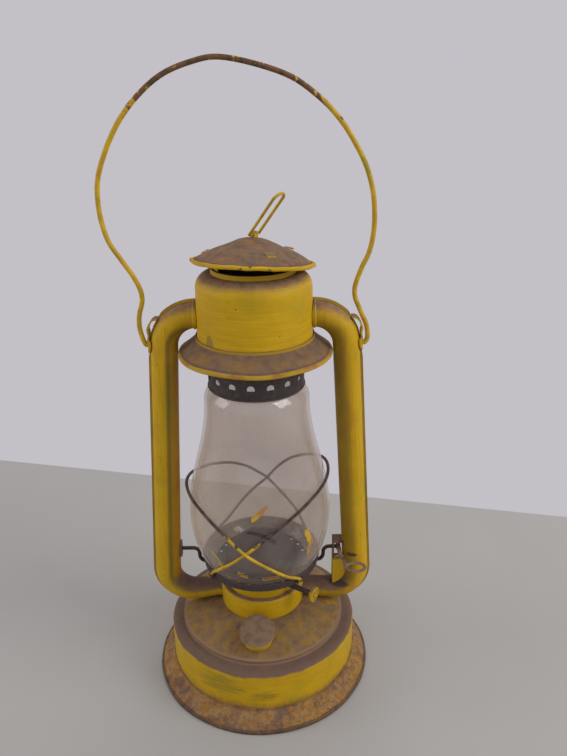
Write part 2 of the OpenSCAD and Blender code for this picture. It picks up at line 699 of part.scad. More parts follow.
// Plate round the crank's hole on the left tube
module journal_plate() {
    x = leg_x(crank_z) - leg_r_at(crank_z);
    color(dark) mirror([1, 0, 0]) difference() {
        translate([x - 1, 0, crank_z]) rotate([90, 0, 90]) linear_extrude(3) hull()
            for (h = [-3, 3]) translate([0, h]) circle(r = 4, $fn = 32);
        leg_body();
        translate([0, 0, crank_z]) bar_x(x - 5, x + 5, journal_r + fit);
    }
}

// Bends of the crank wire: out of the journal, down the arm, in under the plate and round the burner
crank_half = concat(
    [[arm_x + 4.5, 0, crank_z], [arm_x + 2, 0, crank_z - 0.6], [arm_x, 0, crank_z - 3],
     [arm_x - 0.5, 0, crank_z - 8], [arm_x - 2.6, 0, hoop_z + 0.7], [arm_x - 6, 0, hoop_z],
     [hoop_r + 6, 0, hoop_z]]);
hoop_arc = [for (a = [12:12:168]) polar(hoop_r, a, hoop_z)];
crank_path = concat(spline(crank_half, 4), hoop_arc,
    [for (p = spline([for (i = [len(crank_half) - 1:-1:0]) crank_half[i]], 4)) [-p[0], p[1], p[2]]]);

module lift_crank() {
    left_end = leg_x(crank_z) - leg_r_at(crank_z) + tube_wall + 0.6;
    color(dark) {
        wire(crank_path, journal_r, [0, 0.35, 1], 8);
        translate([0, 0, crank_z]) {
            bar_x(-left_end, -arm_x - 4.4, journal_r);
            bar_x(arm_x + 4.4, bracket_x + 5.2, journal_r);
        }
    }
}

finger_x = leg_x(crank_z) - 1.3;
finger_y = -22;
finger_z = crank_z - 2.6;
strip_t = 1.4;
module lift_lever() {
    hub = bracket_x + 4.2;
    tip_x = finger_x - finger_a;
    arm = [[hub + 0.2, -journal_r - 0.5, crank_z + 0.9], [hub + 0.4, -4.4, crank_z + 0.8],
        [hub + 1.2, -9, crank_z - 0.7], [tip_x - 0.2, finger_y + 6.5, finger_z + 0.5],
        [tip_x + 0.3, finger_y + 1.4, finger_z]];
    color(rust) {
        wire(spline(arm, 4), strip_w / 2 + 0.3, [0, 0.3, 1], 10, false, strip_t / 2);
        wire([for (a = [0:15:345]) [finger_x + finger_a * cos(a), finger_y + finger_b * sin(a), finger_z]],
            strip_w / 2, [0, 0, 1], 10, true, strip_t / 2);
        difference() {
            translate([0, 0, crank_z]) bar_x(hub - 1.5, hub + 1.7, journal_r + 0.9);
            translate([0, 0, crank_z]) bar_x(hub - 3, hub + 3, journal_r + 0.005);
        }
    }
}

// Globe, plate and guard

function globe_r(h) = h <= belly_h
    ? foot_r + (belly_r - foot_r) * pow(sin(90 * h / belly_h), 0.7)
    : h <= neck_h
    ? neck_r + (belly_r - neck_r) * (0.5 + 0.5 * cos(180 * (h - belly_h) / (neck_h - belly_h)))
    : neck_r - (neck_r - lip_r) * pow(min(1, (h - neck_h) / (lip_h - 3.8)), 2);
globe_steps = concat([0, 1.2, 2.6, 4.5, 7, 10, 14, 19, 25, 32, 38],
    [for (k = [0:12]) belly_h + (neck_h - belly_h) * k / 12],
    [for (k = [1:5]) neck_h + (lip_h - 3.8) * k / 5], [globe_h]);

module globe() {
    n = len(globe_steps);
    color(clear) rotate_extrude() polygon(concat(
        [for (h = globe_steps) [globe_r(h), globe_z + h]],
        [for (i = [n - 1:-1:0]) [globe_r(globe_steps[i]) - glass, globe_z + globe_steps[i]]]));
}

floor_in = skirt_r - 2;
rim_low = plate_top + 2.6;
rim_z = plate_top + plate_h - 0.6;
module globe_plate() {
    color(dark) difference() {
        rotate_extrude() union() {
            polygon([[floor_in, plate_z], [foot_r + 1.4, plate_z], [plate_r - 0.6, rim_low], [plate_r, rim_z],
                [plate_r - sheet, rim_z], [plate_r - 1.4, rim_low + 0.3], [foot_r + 1, plate_top],
                [floor_in, plate_top]]);
            translate([plate_r - 0.3, rim_z]) circle(r = 0.6, $fn = 24);
        }
        for (k = [0:floor_holes - 1]) rotate([0, 0, 360 * k / floor_holes])
            translate([foot_r - 3.6, 0, plate_z - 1]) cylinder(h = 4, r = 1.3, $fn = 24);
    }
}

cone_r = skirt_r + 0.8;
cone_h = 19;
module burner_cone() {
    foot = plate_top + 0.6;
    outer = [for (a = [0:9:81]) [cone_r * cos(a), foot + cone_h * sin(a)]];
    inner = [for (a = [81:-9:0]) [(cone_r - 0.7) * cos(a), foot + (cone_h - 0.7) * sin(a)]];
    color(dark) difference() {
        rotate_extrude() polygon(concat([[cone_r + 1.8, foot - 0.6], [cone_r + 1.8, foot]], outer,
            [[0, foot + cone_h], [0, foot + cone_h - 0.7]], inner, [[cone_r - 0.7, foot - 0.6]]));
        at_burner() translate([0, 0, foot + cone_h]) cube([26, 4.4, 16], center = true);
    }
}

// The guard wires lie on the globe in two leaning loops, which cross at the front and at the back.
// Each ends in clips on the plate's rim. A row is an angle round the globe, a height above its foot and how
// far the wire stands off the glass. The left wire passes over the right one.
guard_off = guard_wire / 2 + gap;
clip_r = plate_r + guard_wire / 2 + 0.5;
cross = guard_wire + 0.5;
left_ends = [42, 309];
left_course = [[46, 11, 0], [52, 14.6, 0], [59, 18.6, 0], [66, 23, 0], [73, 27.6, 0.2], [80, 32.6, cross / 2],
    [86.5, 37.5, cross], [93, 42.6, cross / 2], [100, 48, 0.2], [109, 52.6, 0], [120, 56.6, 0.2], [134, 60, 0.6],
    [150, 63.4, 1.2], [166, 66.6, 1.9], [181, 68.3, 2.2], [194, 68, 1.8], [207, 66.2, 1], [220, 63.4, 0.3],
    [232, 59, 0], [243, 53.6, 0.2], [253, 47.4, cross / 2], [262.3, 41, cross], [271, 33.4, cross / 2],
    [280, 25.8, 0.2], [289, 18.6, 0], [297, 12.6, 0], [304, 8.8, 0.2]];
right_ends = [-141.5, 141.5];
right_course = [[-137, 10.5, 0], [-129, 16.2, 0], [-120, 23.2, 0], [-111, 30.2, 0], [-104, 36.2, 0],
    [-97.7, 41.4, 0], [-90, 47.9, 0], [-82, 54, 0], [-74, 59, 0], [-65, 63.6, 0], [-55, 67.6, 0], [-44, 71, 0],
    [-32, 73.6, 0.3], [-19, 75.6, 0.9], [-6, 77, 1.4], [8, 77.6, 1.5], [21, 76, 1], [34, 72.2, 0.4], [46, 68, 0],
    [57, 63, 0], [67, 57, 0], [77, 48, 0], [86.5, 37.6, 0], [95, 31.4, 0], [104, 25, 0], [113, 18.8, 0],
    [122, 13.4, 0], [131, 10, 0]];

module guard(course, ends, lean) {
    foot_z = plate_top + 3.2;
    wire(concat([for (z = [0, 4.2]) polar(clip_r, ends[0], foot_z + z)],
        [for (q = spline(course, 2)) polar(globe_r(q[1]) + guard_off + q[2], q[0], globe_z + q[1])],
        [for (z = [4.2, 0]) polar(clip_r, ends[1], foot_z + z)]), guard_wire / 2, [lean, 0.001, -1], 8);
}

module guard_wire_left() {
    color(dark) guard(left_course, left_ends, -0.75);
}

module guard_wire_right() {
    color(dark) guard(right_course, right_ends, 0.86);
}

module guard_clips() {
    color(dark) for (a = concat(left_ends, right_ends)) rotate([0, 0, a]) difference() {
        translate([clip_r, 0, plate_top + 3.6]) cylinder(h = 3.2, r = guard_wire / 2 + 0.9, $fn = 32);
        translate([clip_r, 0, plate_top + 3]) cylinder(h = 5, r = guard_wire / 2 + slip, $fn = 32);
        translate([0, 0, plate_top - 1]) cylinder(h = plate_h + 5, r = plate_r);
    }
}

// Chimney, hood and lift loop

ring_t = 0.6;
module perforated_ring() {
    hole_z = ring_z + 9.3;
    w = ring_hole_w / 2;
    color(dark) difference() {
        union() {
            washer(ring_r - ring_t, ring_r, ring_z, ring_top);
            washer(chimney_r + slip, ring_r - ring_t / 2, ring_top - 0.6, ring_top);
            rotate_extrude() translate([ring_r, ring_z + 0.7]) circle(r = 0.7, $fn = 24);
            rotate_extrude() translate([ring_r - 0.3, ring_top - 0.6]) circle(r = 0.6, $fn = 24);
        }
        for (k = [0:ring_holes - 1]) rotate([0, 0, 360 * k / ring_holes - 94.3]) translate([0, 0, hole_z])
            rotate([90, 0, 90]) linear_extrude(ring_r + 5) translate([0, -ring_hole_h / 2]) intersection() {
                translate([0, ring_hole_h - w]) union() {
                    circle(r = w, $fn = 32);
                    translate([-w, -ring_hole_h]) square([2 * w, ring_hole_h]);
                }
                translate([-w, 0]) square([2 * w, ring_hole_h + 1]);
            }
    }
}

module chimney_tube() {
    color(dark) washer(chimney_r - 0.6, chimney_r, ring_top - 3, neck_top);
}

module at_hood() {
    translate([0, 0, hood_z]) rotate([-hood_back, hood_side, 0]) children();
}
function hood_face(r) = 0.6 + hood_rise * (1 - pow(r / (hood_r - 0.5), 2.2))
    + (r < hood_dome_r ? hood_dome_h * pow(1 - pow(r / hood_dome_r, 2), 1.5) : 0);
hood_steps = concat([0], [for (k = [1:6]) hood_dome_r * sin(15 * k)],
    [for (k = [1:7]) hood_dome_r + (hood_r - 2.4 - hood_dome_r) * k / 7]);
hood_top = hood_face(0);
bead_r = 1.3;

module hood() {
    n = len(hood_steps);
    color(dusty) at_hood() rotate_extrude() polygon(concat(
        [for (r = hood_steps) [r, hood_face(r)]],
        [for (a = [130:-20:-150]) [hood_r - bead_r + bead_r * cos(a), 0.9 + bead_r * sin(a)]],
        [for (i = [n - 1:-1:0]) [hood_steps[i], hood_face(hood_steps[i]) - sheet]]));
}

// Everything above the hood's underside, to trim what stands under it
module above_hood() {
    n = len(hood_steps);
    at_hood() rotate_extrude() polygon(concat([for (r = hood_steps) [r, hood_face(r) - sheet]],
        [[hood_r, -1], [hood_r, 40], [0, 40]]));
}

module hood_tabs() {
    color(dusty) difference() {
        for (a = [195, 320, 75]) rotate([0, 0, a]) translate([0, 0, neck_top - 8])
            rotate_extrude(angle = 17) translate([chimney_r - 0.65 - sheet, 0]) square([sheet, 30]);
        above_hood();
    }
}

module at_loop() {
    at_hood() translate([0, 0, hood_top + loop_wire / 2 + 0.9]) rotate([hood_back, 0, 0])
        rotate([0, -hood_side, 0]) rotate([0, 0, loop_turn]) children();
}
hinge_r = loop_wire / 2;

module loop_staple() {
    color(dusty) difference() {
        at_loop() rotate([90, 0, 90]) linear_extrude(3.4, center = true) union() {
            circle(r = hinge_r + 1);
            translate([-hinge_r - 1, -6]) square([2 * hinge_r + 2, 6]);
        }
        at_loop() bar_x(-5, 5, hinge_r + fit);
        at_hood() rotate_extrude() polygon(concat([for (r = hood_steps) [r, hood_face(r)]],
            [[hood_r, -20], [0, -20]]));
    }
}

module lift_loop() {
    half = loop_w / 2 - hinge_r;
    top = loop_l - hinge_r - half;
    side = [[half - 1.2, 0, 0], [half - 0.35, 0, 0.35], [half, 0, 1.2], [half, 0, top * 0.5]];
    arc = [for (a = [0:15:180]) [half * cos(a), 0, top + half * sin(a)]];
    color(yellow) at_loop() rotate([loop_lean, 0, 0]) {
        wire(concat(side, arc, [for (i = [3:-1:0]) [-side[i][0], 0, side[i][2]]]), hinge_r, [0, 1, 0], 10);
        bar_x(-half + 1.15, half - 1.15, hinge_r);
    }
}

// Bail. Its points are chosen by hand in X and Z, from the pin of each side and from the pivot's height.
bail_right = [[0, 0], [1.5, 0.7], [2.6, 3], [2.8, 6], [2.3, 10], [1.3, 14], [-1, 19], [-3.6, 25], [-6, 31],
    [-6.5, 37], [-4.8, 44], [-1.8, 52], [1.8, 60], [4, 70], [4.6, 82], [3.2, 97], [-1, 111.5],
    [-7.6, 124.5], [-17.1, 138.5], [-30.6, 152], [-50.6, 164.5]];
bail_left = [[59.2, 173.2], [39.2, 171.2], [17.2, 161.8], [-4.3, 141], [-19.3, 113], [-22.6, 92],
    [-19.6, 71.5], [-12.3, 58], [-5.8, 47.5], [-2, 39], [-0.9, 33], [-1.6, 28], [-3.4, 22.5],
    [-4.3, 16.5], [-4.2, 11], [-3, 5], [-1.6, 1], [0, 0]];
bail_points = concat([for (p = bail_right) [pin_x + 0.3 + p[0], 0, pivot_z + p[1]]],
    [for (p = bail_left) [-pin_x - 0.3 + p[0], 0, pivot_z + p[1]]]);

module bail() {
    color(yellow) {
        wire(spline(bail_points, 3), pin_r, [0, 1, 0], 10);
        for (s = [0, 1]) mirror([s, 0, 0]) translate([0, 0, pivot_z]) bar_x(pin_tip, pin_x + 0.35, pin_r);
    }
}

base_skirt();
tank_bottom();
tank_shell();
tank_collar();
filler_neck();
cap_gasket();
filler_cap();
air_cup();
burner_base();
burner_skirt();
wick_tube();
shaft_bearing();
wick();
wick_shaft();
wick_wheels();
wick_knob();
left_tube();
right_tube();
tube_collars();
bail_ears();
canopy_shell();
canopy_brim();
chimney_spring();
crank_bracket();
bracket_eyelet();
journal_plate();
lift_crank();
lift_lever();
globe_plate();
burner_cone();
globe();
guard_wire_left();
guard_wire_right();
guard_clips();
perforated_ring();
chimney_tube();
hood();
hood_tabs();
loop_staple();
lift_loop();
bail();
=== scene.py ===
import json
import math

import bpy
import numpy as np
from mathutils import Matrix, Vector


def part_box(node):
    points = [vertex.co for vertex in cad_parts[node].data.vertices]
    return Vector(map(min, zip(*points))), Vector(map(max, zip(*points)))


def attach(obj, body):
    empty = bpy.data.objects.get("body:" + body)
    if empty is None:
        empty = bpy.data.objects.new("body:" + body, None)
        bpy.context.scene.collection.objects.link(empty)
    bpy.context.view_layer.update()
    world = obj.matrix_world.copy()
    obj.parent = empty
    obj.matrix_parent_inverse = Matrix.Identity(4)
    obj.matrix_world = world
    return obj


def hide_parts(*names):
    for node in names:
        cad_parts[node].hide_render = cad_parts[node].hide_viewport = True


bl_info = {
    "name": "Tubular Oil Lantern",
    "version": (1, 0, 0),
    "blender": (4, 5, 0),
    "location": "View3D > Sidebar > Lantern",
    "description": "Finishes, wires, tubes and glass of a painted tubular oil lantern",
    "category": "Object",
}

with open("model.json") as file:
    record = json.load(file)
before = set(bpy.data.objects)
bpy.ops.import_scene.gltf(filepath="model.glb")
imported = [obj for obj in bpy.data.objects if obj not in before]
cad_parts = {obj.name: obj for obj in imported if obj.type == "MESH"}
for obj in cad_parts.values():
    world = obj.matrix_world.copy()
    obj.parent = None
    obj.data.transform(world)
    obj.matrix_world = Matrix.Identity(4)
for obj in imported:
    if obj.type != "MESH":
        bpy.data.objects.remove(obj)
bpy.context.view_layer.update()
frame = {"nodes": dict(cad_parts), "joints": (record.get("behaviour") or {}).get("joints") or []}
MM = 0.001


def top_of(node):
    """Height of a node's highest point, in millimetres."""
    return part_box(node)[1].z / MM


def foot_of(node):
    """Height of a node's lowest point, in millimetres."""
    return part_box(node)[0].z / MM


def middle_of(node):
    """Centre of a node's box, in millimetres."""
    low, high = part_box(node)
    return np.array((low + high) / 2) / MM


def joint_of(name):
    """The joint's place, in millimetres."""
    return next(np.array(j["pos_m"]) / MM for j in frame["joints"] if j["name"] == name)


# Sizes and colours that a user would change


def colour_setting(label, text, red, green, blue):
    """A colour property. Red, green and blue are from 0 to 255, as a paint chip is read on a screen."""
    return bpy.props.FloatVectorProperty(
        name=label, description=text, subtype="COLOR", size=3, min=0, max=1,
        default=[linear(c / 255) for c in (red, green, blue)])


def linear(c):
    """Screen value to light value."""
    return c / 12.92 if c <= 0.04045 else ((c + 0.055) / 1.055) ** 2.4


def length_setting(label, text, millimetres, low=0.0, high=1000.0):
    """A length property in metres, given in millimetres."""
    return bpy.props.FloatProperty(
        name=label, description=text, unit="LENGTH", precision=5,
        default=millimetres * MM, min=low * MM, max=high * MM)


class LanternSizes(bpy.types.PropertyGroup):
    """Sizes of the pieces that are shaped here."""

    tube_r: length_setting("Tube radius", "Radius of the side tubes at the top", 9, 6, 14)
    leg_r: length_setting("Leg radius", "Radius of the side tubes at the lower bend", 9.4, 6, 14)
    tube_foot_r: length_setting("Tube foot radius", "Radius of the tubes where they enter the air cup", 7.2, 5, 12)
    foot_dip: length_setting("Dip", "How far the lower tubes hang down between the cup and the bend", 2, 0, 5)
    bend_r: length_setting("Upper bend", "Radius of the upper bends, to the tube's axis", 22, 15, 30)
    foot_bend_r: length_setting("Lower bend", "Radius of the lower bends, to the tube's axis", 19, 15, 30)
    corner_top: length_setting("Upper corner", "Distance of the upper corners from the middle", 59.2, 50, 80)
    corner_foot: length_setting("Lower corner", "Distance of the lower corners from the middle", 72.4, 60, 90)
    tube_wall: length_setting("Tube wall", "Thickness of the tube wall", 0.8, 0.4, 1.5)
    seam_h: length_setting("Seam height", "Height of the tubes' folded seam", 1.75, 0.3, 2)
    seam_t: length_setting("Seam thickness", "Thickness of the tubes' folded seam", 1.65, 0.5, 3)
    bail_wire: length_setting("Bail wire", "Thickness of the bail's wire", 3.2, 2, 5)
    guard_wire: length_setting("Guard wire", "Thickness of the guard's wires", 2.2, 1, 3)
    crank_wire: length_setting("Crank wire", "Thickness of the globe lift's wire", 2.8, 1, 4)
    loop_wire: length_setting("Loop wire", "Thickness of the lift loop's wire", 1.9, 1, 3)
    glass: length_setting("Glass", "Thickness of the globe's wall", 2, 1, 3)
    edge_round: length_setting("Edge round", "Radius of the sheet metal's cut edges", 0.3, 0.05, 1)
    dent_depth: length_setting("Dents", "Depth of the broad dents in the sheet metal", 0.35, 0, 2)


class LanternFinish(bpy.types.PropertyGroup):
    """Colours of the lantern and how worn it is."""

    paint: colour_setting("Paint", "Mustard top coat", 214, 176, 18)
    paint_deep: colour_setting("Paint shade", "Top coat where the brush left it thin", 188, 145, 12)
    paint_green: colour_setting("Green film", "Greenish weathering on the top coat", 138, 138, 34)
    undercoat: colour_setting("Undercoat", "Older orange paint that shows through", 190, 122, 34)
    # This colour is also painted as shade on the tubes' inner sides and along their seams.
    grease_and_shade: colour_setting("Grease", "Dark film of soot and oil on the paint", 84, 70, 42)
    dust: colour_setting("Dust", "Settled brown dust", 138, 112, 90)
    dust_dark: colour_setting("Dark dust", "Dust mixed with soot", 112, 89, 76)
    rust: colour_setting("Rust", "Bare rusty steel", 124, 84, 56)
    rust_dark: colour_setting("Dark rust", "Old purple-brown rust", 94, 72, 70)
    # This colour is also painted as the lever loop's shadow on the right tube.
    soot: colour_setting("Soot", "Blackened steel", 60, 51, 51)
    brass: colour_setting("Brass", "Dull burner brass", 176, 142, 78)
    haze: colour_setting("Haze", "Film of dust on the glass", 226, 214, 202)
    strokes: bpy.props.FloatProperty(
        name="Brush strokes", description="Strength of the brush strokes in the paint", default=1.0, min=0, max=2)
    dustiness: bpy.props.FloatProperty(
        name="Dustiness", description="How much of the upward faces the dust covers", default=1.0, min=0, max=2)


def sizes():
    return bpy.context.scene.lantern_sizes


def finish_settings():
    return bpy.context.scene.lantern_finish


# Shader maths


class Value:
    """A socket of a material. Arithmetic on it adds Math nodes."""

    def __init__(self, finish, socket):
        self.finish = finish
        self.socket = socket

    def maths(self, operation, *values):
        return self.finish.node("ShaderNodeMath", {"operation": operation}, values)

    def __add__(self, other):
        return self.maths("ADD", self, other)

    __radd__ = __add__

    def __sub__(self, other):
        return self.maths("SUBTRACT", self, other)

    def __rsub__(self, other):
        return self.maths("SUBTRACT", other, self)

    def __mul__(self, other):
        return self.maths("MULTIPLY", self, other)

    __rmul__ = __mul__

    def __pow__(self, other):
        return self.maths("POWER", self, other)

    def most(self, other):
        return self.maths("MAXIMUM", self, other)

    def size(self):
        return self.maths("ABSOLUTE", self)

    def between(self, low, high):
        """0 at low, 1 at high and a smooth step in between."""
        return self.finish.node("ShaderNodeMapRange", {"interpolation_type": "SMOOTHSTEP"}, (self, low, high))

    def band(self, low, high, soft):
        """1 from low to high, fading to 0 over soft on both sides."""
        return self.between(low - soft, low) * (1 - self.between(high, high + soft))


class Finish:
    """A material, built from expressions."""

    def __init__(self, name):
        self.material = bpy.data.materials.new(name)
        self.material.use_nodes = True
        self.tree = self.material.node_tree
        self.tree.nodes.clear()
        place = self.node("ShaderNodeTexCoord", output="Object")
        self.at = self.node("ShaderNodeVectorMath", {"operation": "SCALE"}, {"Vector": place, "Scale": 1 / MM})
        self.x, self.y, self.z = (
            self.node("ShaderNodeSeparateXYZ", inputs=(self.at,), output=axis) for axis in "XYZ")
        normal = self.node("ShaderNodeTexCoord", output="Normal")
        self.face_x, self.face_y, self.up = (
            self.node("ShaderNodeSeparateXYZ", inputs=(normal,), output=axis) for axis in "XYZ")
        flat = self.node("ShaderNodeVectorMath", {"operation": "MULTIPLY"}, (self.at, (1, 1, 0)))
        self.reach = self.node("ShaderNodeVectorMath", {"operation": "LENGTH"}, (flat,), "Value")

    def node(self, kind, settings=None, inputs=(), output=0):
        made = self.tree.nodes.new(kind)
        for key, value in (settings or {}).items():
            setattr(made, key, value)
        for key, value in inputs.items() if isinstance(inputs, dict) else enumerate(inputs):
            if isinstance(value, Value):
                self.tree.links.new(value.socket, made.inputs[key])
            else:
                made.inputs[key].default_value = value
        return Value(self, made.outputs[output])

    def noise(self, size, detail=3.0, stretch=(1, 1, 1), seed=0.0):
        """Cloudy value from 0 to 1. Size is in millimetres and is stretched along each axis."""
        at = self.node(
            "ShaderNodeVectorMath", {"operation": "MULTIPLY_ADD"},
            (self.at, [1 / (size * s) for s in stretch], (seed, seed * 1.7, seed * 0.6)))
        return self.node("ShaderNodeTexNoise", None, {"Vector": at, "Scale": 1.0, "Detail": detail})

    def patches(self, size, low, high, detail=3.0, stretch=(1, 1, 1), seed=0.0):
        """Noise cut into patches: 0 below low and 1 above high."""
        return self.noise(size, detail, stretch, seed).between(low, high)

    def spot(self, centre, radii):
        """1 at a place in the frame, in millimetres, fading to 0 at the radii."""
        offset = self.node("ShaderNodeVectorMath", {"operation": "SUBTRACT"}, (self.at, centre))
        scaled = self.node("ShaderNodeVectorMath", {"operation": "DIVIDE"}, (offset, radii))
        away = self.node("ShaderNodeVectorMath", {"operation": "LENGTH"}, (scaled,), "Value")
        return 1 - away.between(0.2, 1.0)

    def smear(self, start, end, radii):
        """1 along the line from start to end, in millimetres, fading to 0 at the radii."""
        along = Vector(end) - Vector(start)
        offset = self.node("ShaderNodeVectorMath", {"operation": "SUBTRACT"}, (self.at, start))
        dot = self.node("ShaderNodeVectorMath", {"operation": "DOT_PRODUCT"}, (offset, tuple(along)), "Value")
        share = (dot * (1 / along.length_squared)).most(0.0)
        share = share.maths("MINIMUM", share, 1.0)
        near = self.node("ShaderNodeVectorMath", {"operation": "SCALE"}, {"Vector": tuple(along), "Scale": share})
        rest = self.node("ShaderNodeVectorMath", {"operation": "SUBTRACT"}, (offset, near))
        scaled = self.node("ShaderNodeVectorMath", {"operation": "DIVIDE"}, (rest, radii))
        away = self.node("ShaderNodeVectorMath", {"operation": "LENGTH"}, (scaled,), "Value")
        return 1 - away.between(0.2, 1.0)

    def mix(self, share, first, second):
        """Second over first by share."""
        def four(c):
            return c if isinstance(c, Value) else (*c, 1.0)
        return self.node(
            "ShaderNodeMix", {"data_type": "RGBA"}, {0: share, 6: four(first), 7: four(second)}, 2)

    def relief(self, height, depth):
        """Normal of a height from 0 to 1 over a depth in millimetres."""
        return self.node("ShaderNodeBump", None, {"Strength": 1.0, "Distance": depth * MM, "Height": height})

    def shader(self, colour, roughness, metallic=0.0, normal=None, **fixed):
        inputs = {"Base Color": colour if isinstance(colour, Value) else (*colour, 1.0),
                  "Roughness": roughness, "Metallic": metallic}
        inputs.update({name.replace("_", " "): value for name, value in fixed.items()})
        if normal is not None:
            inputs["Normal"] = normal
        return self.node("ShaderNodeBsdfPrincipled", None, inputs)

    def done(self, surface):
        out = self.tree.nodes.new("ShaderNodeOutputMaterial")
        self.tree.links.new(surface.socket, out.inputs["Surface"])
        return self.material


# Finishes

ALONG_ROUND = (24, 24, 0.8)
ALONG_UPRIGHT = (0.9, 0.9, 26)


def brushed_paint(name, strokes, scuffs=0.5, undercoat=0.1, dust=(0.25, 0.8), patchy=0.5, rust_below=None,
                  dust_share=1.0, marks=None):
    """Mustard paint put on with a brush, over orange undercoat, with dust on what faces up and chips. marks
    adds what is only found on one piece."""
    look = finish_settings()
    f = Finish(name)
    streak = f.noise(1.0, 3.0, strokes)
    broad = f.noise(26, 4.0, seed=3.1)
    fine = f.noise(0.7, 3.0, seed=9.0)
    coat = f.mix((streak - 0.5) * 1.5 * look.strokes + 0.45 + (broad - 0.5) * 0.8, look.paint_deep, look.paint)
    green = f.patches(16, 0.5, 0.78, 4.0, (1.4, 1.4, 1.4), 5.0) * (streak.between(0.4, 0.62) * 0.7 + 0.2)
    coat = f.mix(green * scuffs, coat, look.paint_green)
    under = f.patches(13, 0.55, 0.68, 5.0, (1, 1, 2.2), 12.0)
    coat = f.mix(under * undercoat, coat, look.undercoat)
    scrape = f.patches(1.0, 0.62, 0.75, 4.0, [s * 0.8 for s in strokes], 21.0)
    scrape = scrape * f.patches(20, 0.5, 0.62, 3.0, seed=2.0)
    coat = f.mix(scrape * 0.6 * scuffs, coat, look.grease_and_shade)
    nick = f.patches(1.9, 0.70, 0.74, 2.0, seed=31.0) * f.patches(15, 0.42, 0.6, 2.0, seed=8.0)
    coat = f.mix(nick * 0.85, coat, look.soot)
    cling = f.noise(3.2, 5.0, seed=17.0)
    facing = f.up + (cling - 0.5) * patchy + (broad - 0.5) * patchy
    settled = facing.between(*dust) * (look.dustiness * dust_share)
    grime = f.mix(f.patches(5, 0.35, 0.75, 5.0, seed=41.0), look.dust, look.dust_dark)
    grime = f.mix(f.patches(9, 0.45, 0.75, 4.0, seed=44.0) * 0.22, grime, look.undercoat)
    coat = f.mix(settled * 0.95, coat, grime)
    if marks is not None:
        coat = marks(f, look, coat, streak)
    bare = nick
    if rust_below is not None:
        low, high = rust_below
        rise = 1 - (f.z + (cling - 0.5) * 7 + (broad - 0.5) * 8).between(low, high)
        coat = f.mix(rise * 0.85, coat, f.mix(cling.between(0.35, 0.65), look.rust, look.dust_dark))
        bare = bare.most(rise)
    rough = 0.46 + streak * 0.12 + settled * 0.4 + bare * 0.25
    height = streak * 0.45 + fine * (settled * 0.8 + 0.1) - bare * 0.5
    return f.done(f.shader(coat, rough, 0.0, f.relief(height, 0.09), Specular_IOR_Level=0.25))


def tube_marks(f, look, coat, streak):
    """Painted shade on the sides that face the globe, a darker stripe of painted shade down the left tube, an ochre
    worn edge, dust on the lower tubes, two dark patches on the right tube, the one by the lever a painted shadow, and
    a line of painted shade along the seam.
    """
    side = f.x.maths("SIGN", f.x)
    inward = f.face_x * side * -1
    wear = f.noise(8, 4.0, (1, 1, 3), 51.0)
    left, right = (1 - side) * 0.5, (1 + side) * 0.5
    legs = f.z.band(82, 270, 14)
    # Painted shade: the sides of the tubes that face the globe are darkened with the grease colour, more on the right
    # tube.
    film = (inward + (wear - 0.5) * 0.5 - left * 0.2).between(-0.35, 0.45)
    coat = f.mix(film * (0.4 + right * 0.12), coat, look.grease_and_shade)
    # Painted shade: a darker stripe down the inner side of the left tube's leg.
    shade_stripe = inward.band(0.28, 0.4, 0.18) * left * legs * (1 - f.face_y.between(-0.2, 0.2))
    coat = f.mix(shade_stripe * (0.35 + streak * 0.4), coat, look.grease_and_shade)
    worn = inward.band(0.72, 1.1, 0.1) * left * legs * (0.3 + wear * 0.7)
    coat = f.mix(worn * 0.6, coat, look.undercoat)
    low = 1 - f.z.between(74, 88)
    dusty = (f.up + (wear - 0.5) * 0.5).between(-0.1, 0.4) * low
    coat = f.mix(dusty * 0.8, coat, f.mix(wear.between(0.4, 0.6), look.rust_dark, look.dust_dark))
    # Two dark patches on the right tube: one darkens it near its lower bend, and the one by the lever is the lever
    # loop's painted shadow.
    for centre, radii in (((62, -4, 70), (17, 9, 5)), ((67, -9, 98), (7, 6, 2.6))):
        dark_patch = (f.spot(centre, radii) + (wear - 0.5) * 0.6).between(0.25, 0.6)
        coat = f.mix(dark_patch * 0.8, coat, look.soot)
    # Painted shade: a dark line in the crease beside the seam, on the sides away from the globe.
    line = f.y.size().band(0.75, 1.25, 0.5) * (1 - inward.between(-0.3, 0.1))
    return f.mix(line * (0.35 + wear * 0.7), coat, look.grease_and_shade)


def canopy_marks(f, look, coat, streak):
    """A brown run at the left of the front."""
    run = f.spot((-27.5, -27, 268), (5, 9, 15)) + (streak - 0.5) * 0.6
    return f.mix(run.between(0.35, 0.65) * 0.55, coat, look.rust)


def brim_marks(f, look, coat, streak):
    """Ochre where the dust is thin, a dark patch, and the yellow of the rolled edge."""
    edge = f.reach.between(49.6, 50.3)
    mottle = f.patches(12, 0.42, 0.68, 4.0, seed=61.0)
    coat = f.mix(mottle * f.reach.band(43, 48, 2) * 0.3, coat, look.paint_deep)
    coat = f.mix(0.3, coat, look.soot)
    patch = f.spot((-33, -30, 250), (12, 10, 9)) + (mottle - 0.5) * 0.3
    coat = f.mix(patch.between(0.3, 0.6) * 0.7, coat, look.rust_dark)
    coat = f.mix(edge * 0.5, coat, f.mix(mottle, look.paint, look.undercoat))
    return f.mix(f.reach.band(49.0, 49.5, 0.4) * 0.5, coat, look.rust_dark)


def hood_marks(f, look, coat, streak):
    """The rolled edge is free of dust, with a dark line above it and a few chips."""
    edge = f.reach.between(37.4, 38.0)
    chip = f.patches(5, 0.60, 0.66, 3.0, seed=66.0)
    bead = f.mix(streak.between(0.3, 0.7), look.paint_deep, look.paint)
    bead = f.mix(chip * 0.8, bead, look.soot)
    ochre = f.patches(8, 0.55, 0.7, 4.0, seed=67.0)
    coat = f.mix(0.26, coat, look.soot)
    coat = f.mix(ochre * 0.25 * (1 - edge), coat, look.undercoat)
    coat = f.mix(edge * 0.9, coat, bead)
    return f.mix(f.reach.band(36.8, 37.3, 0.35) * 0.6, coat, look.rust_dark)


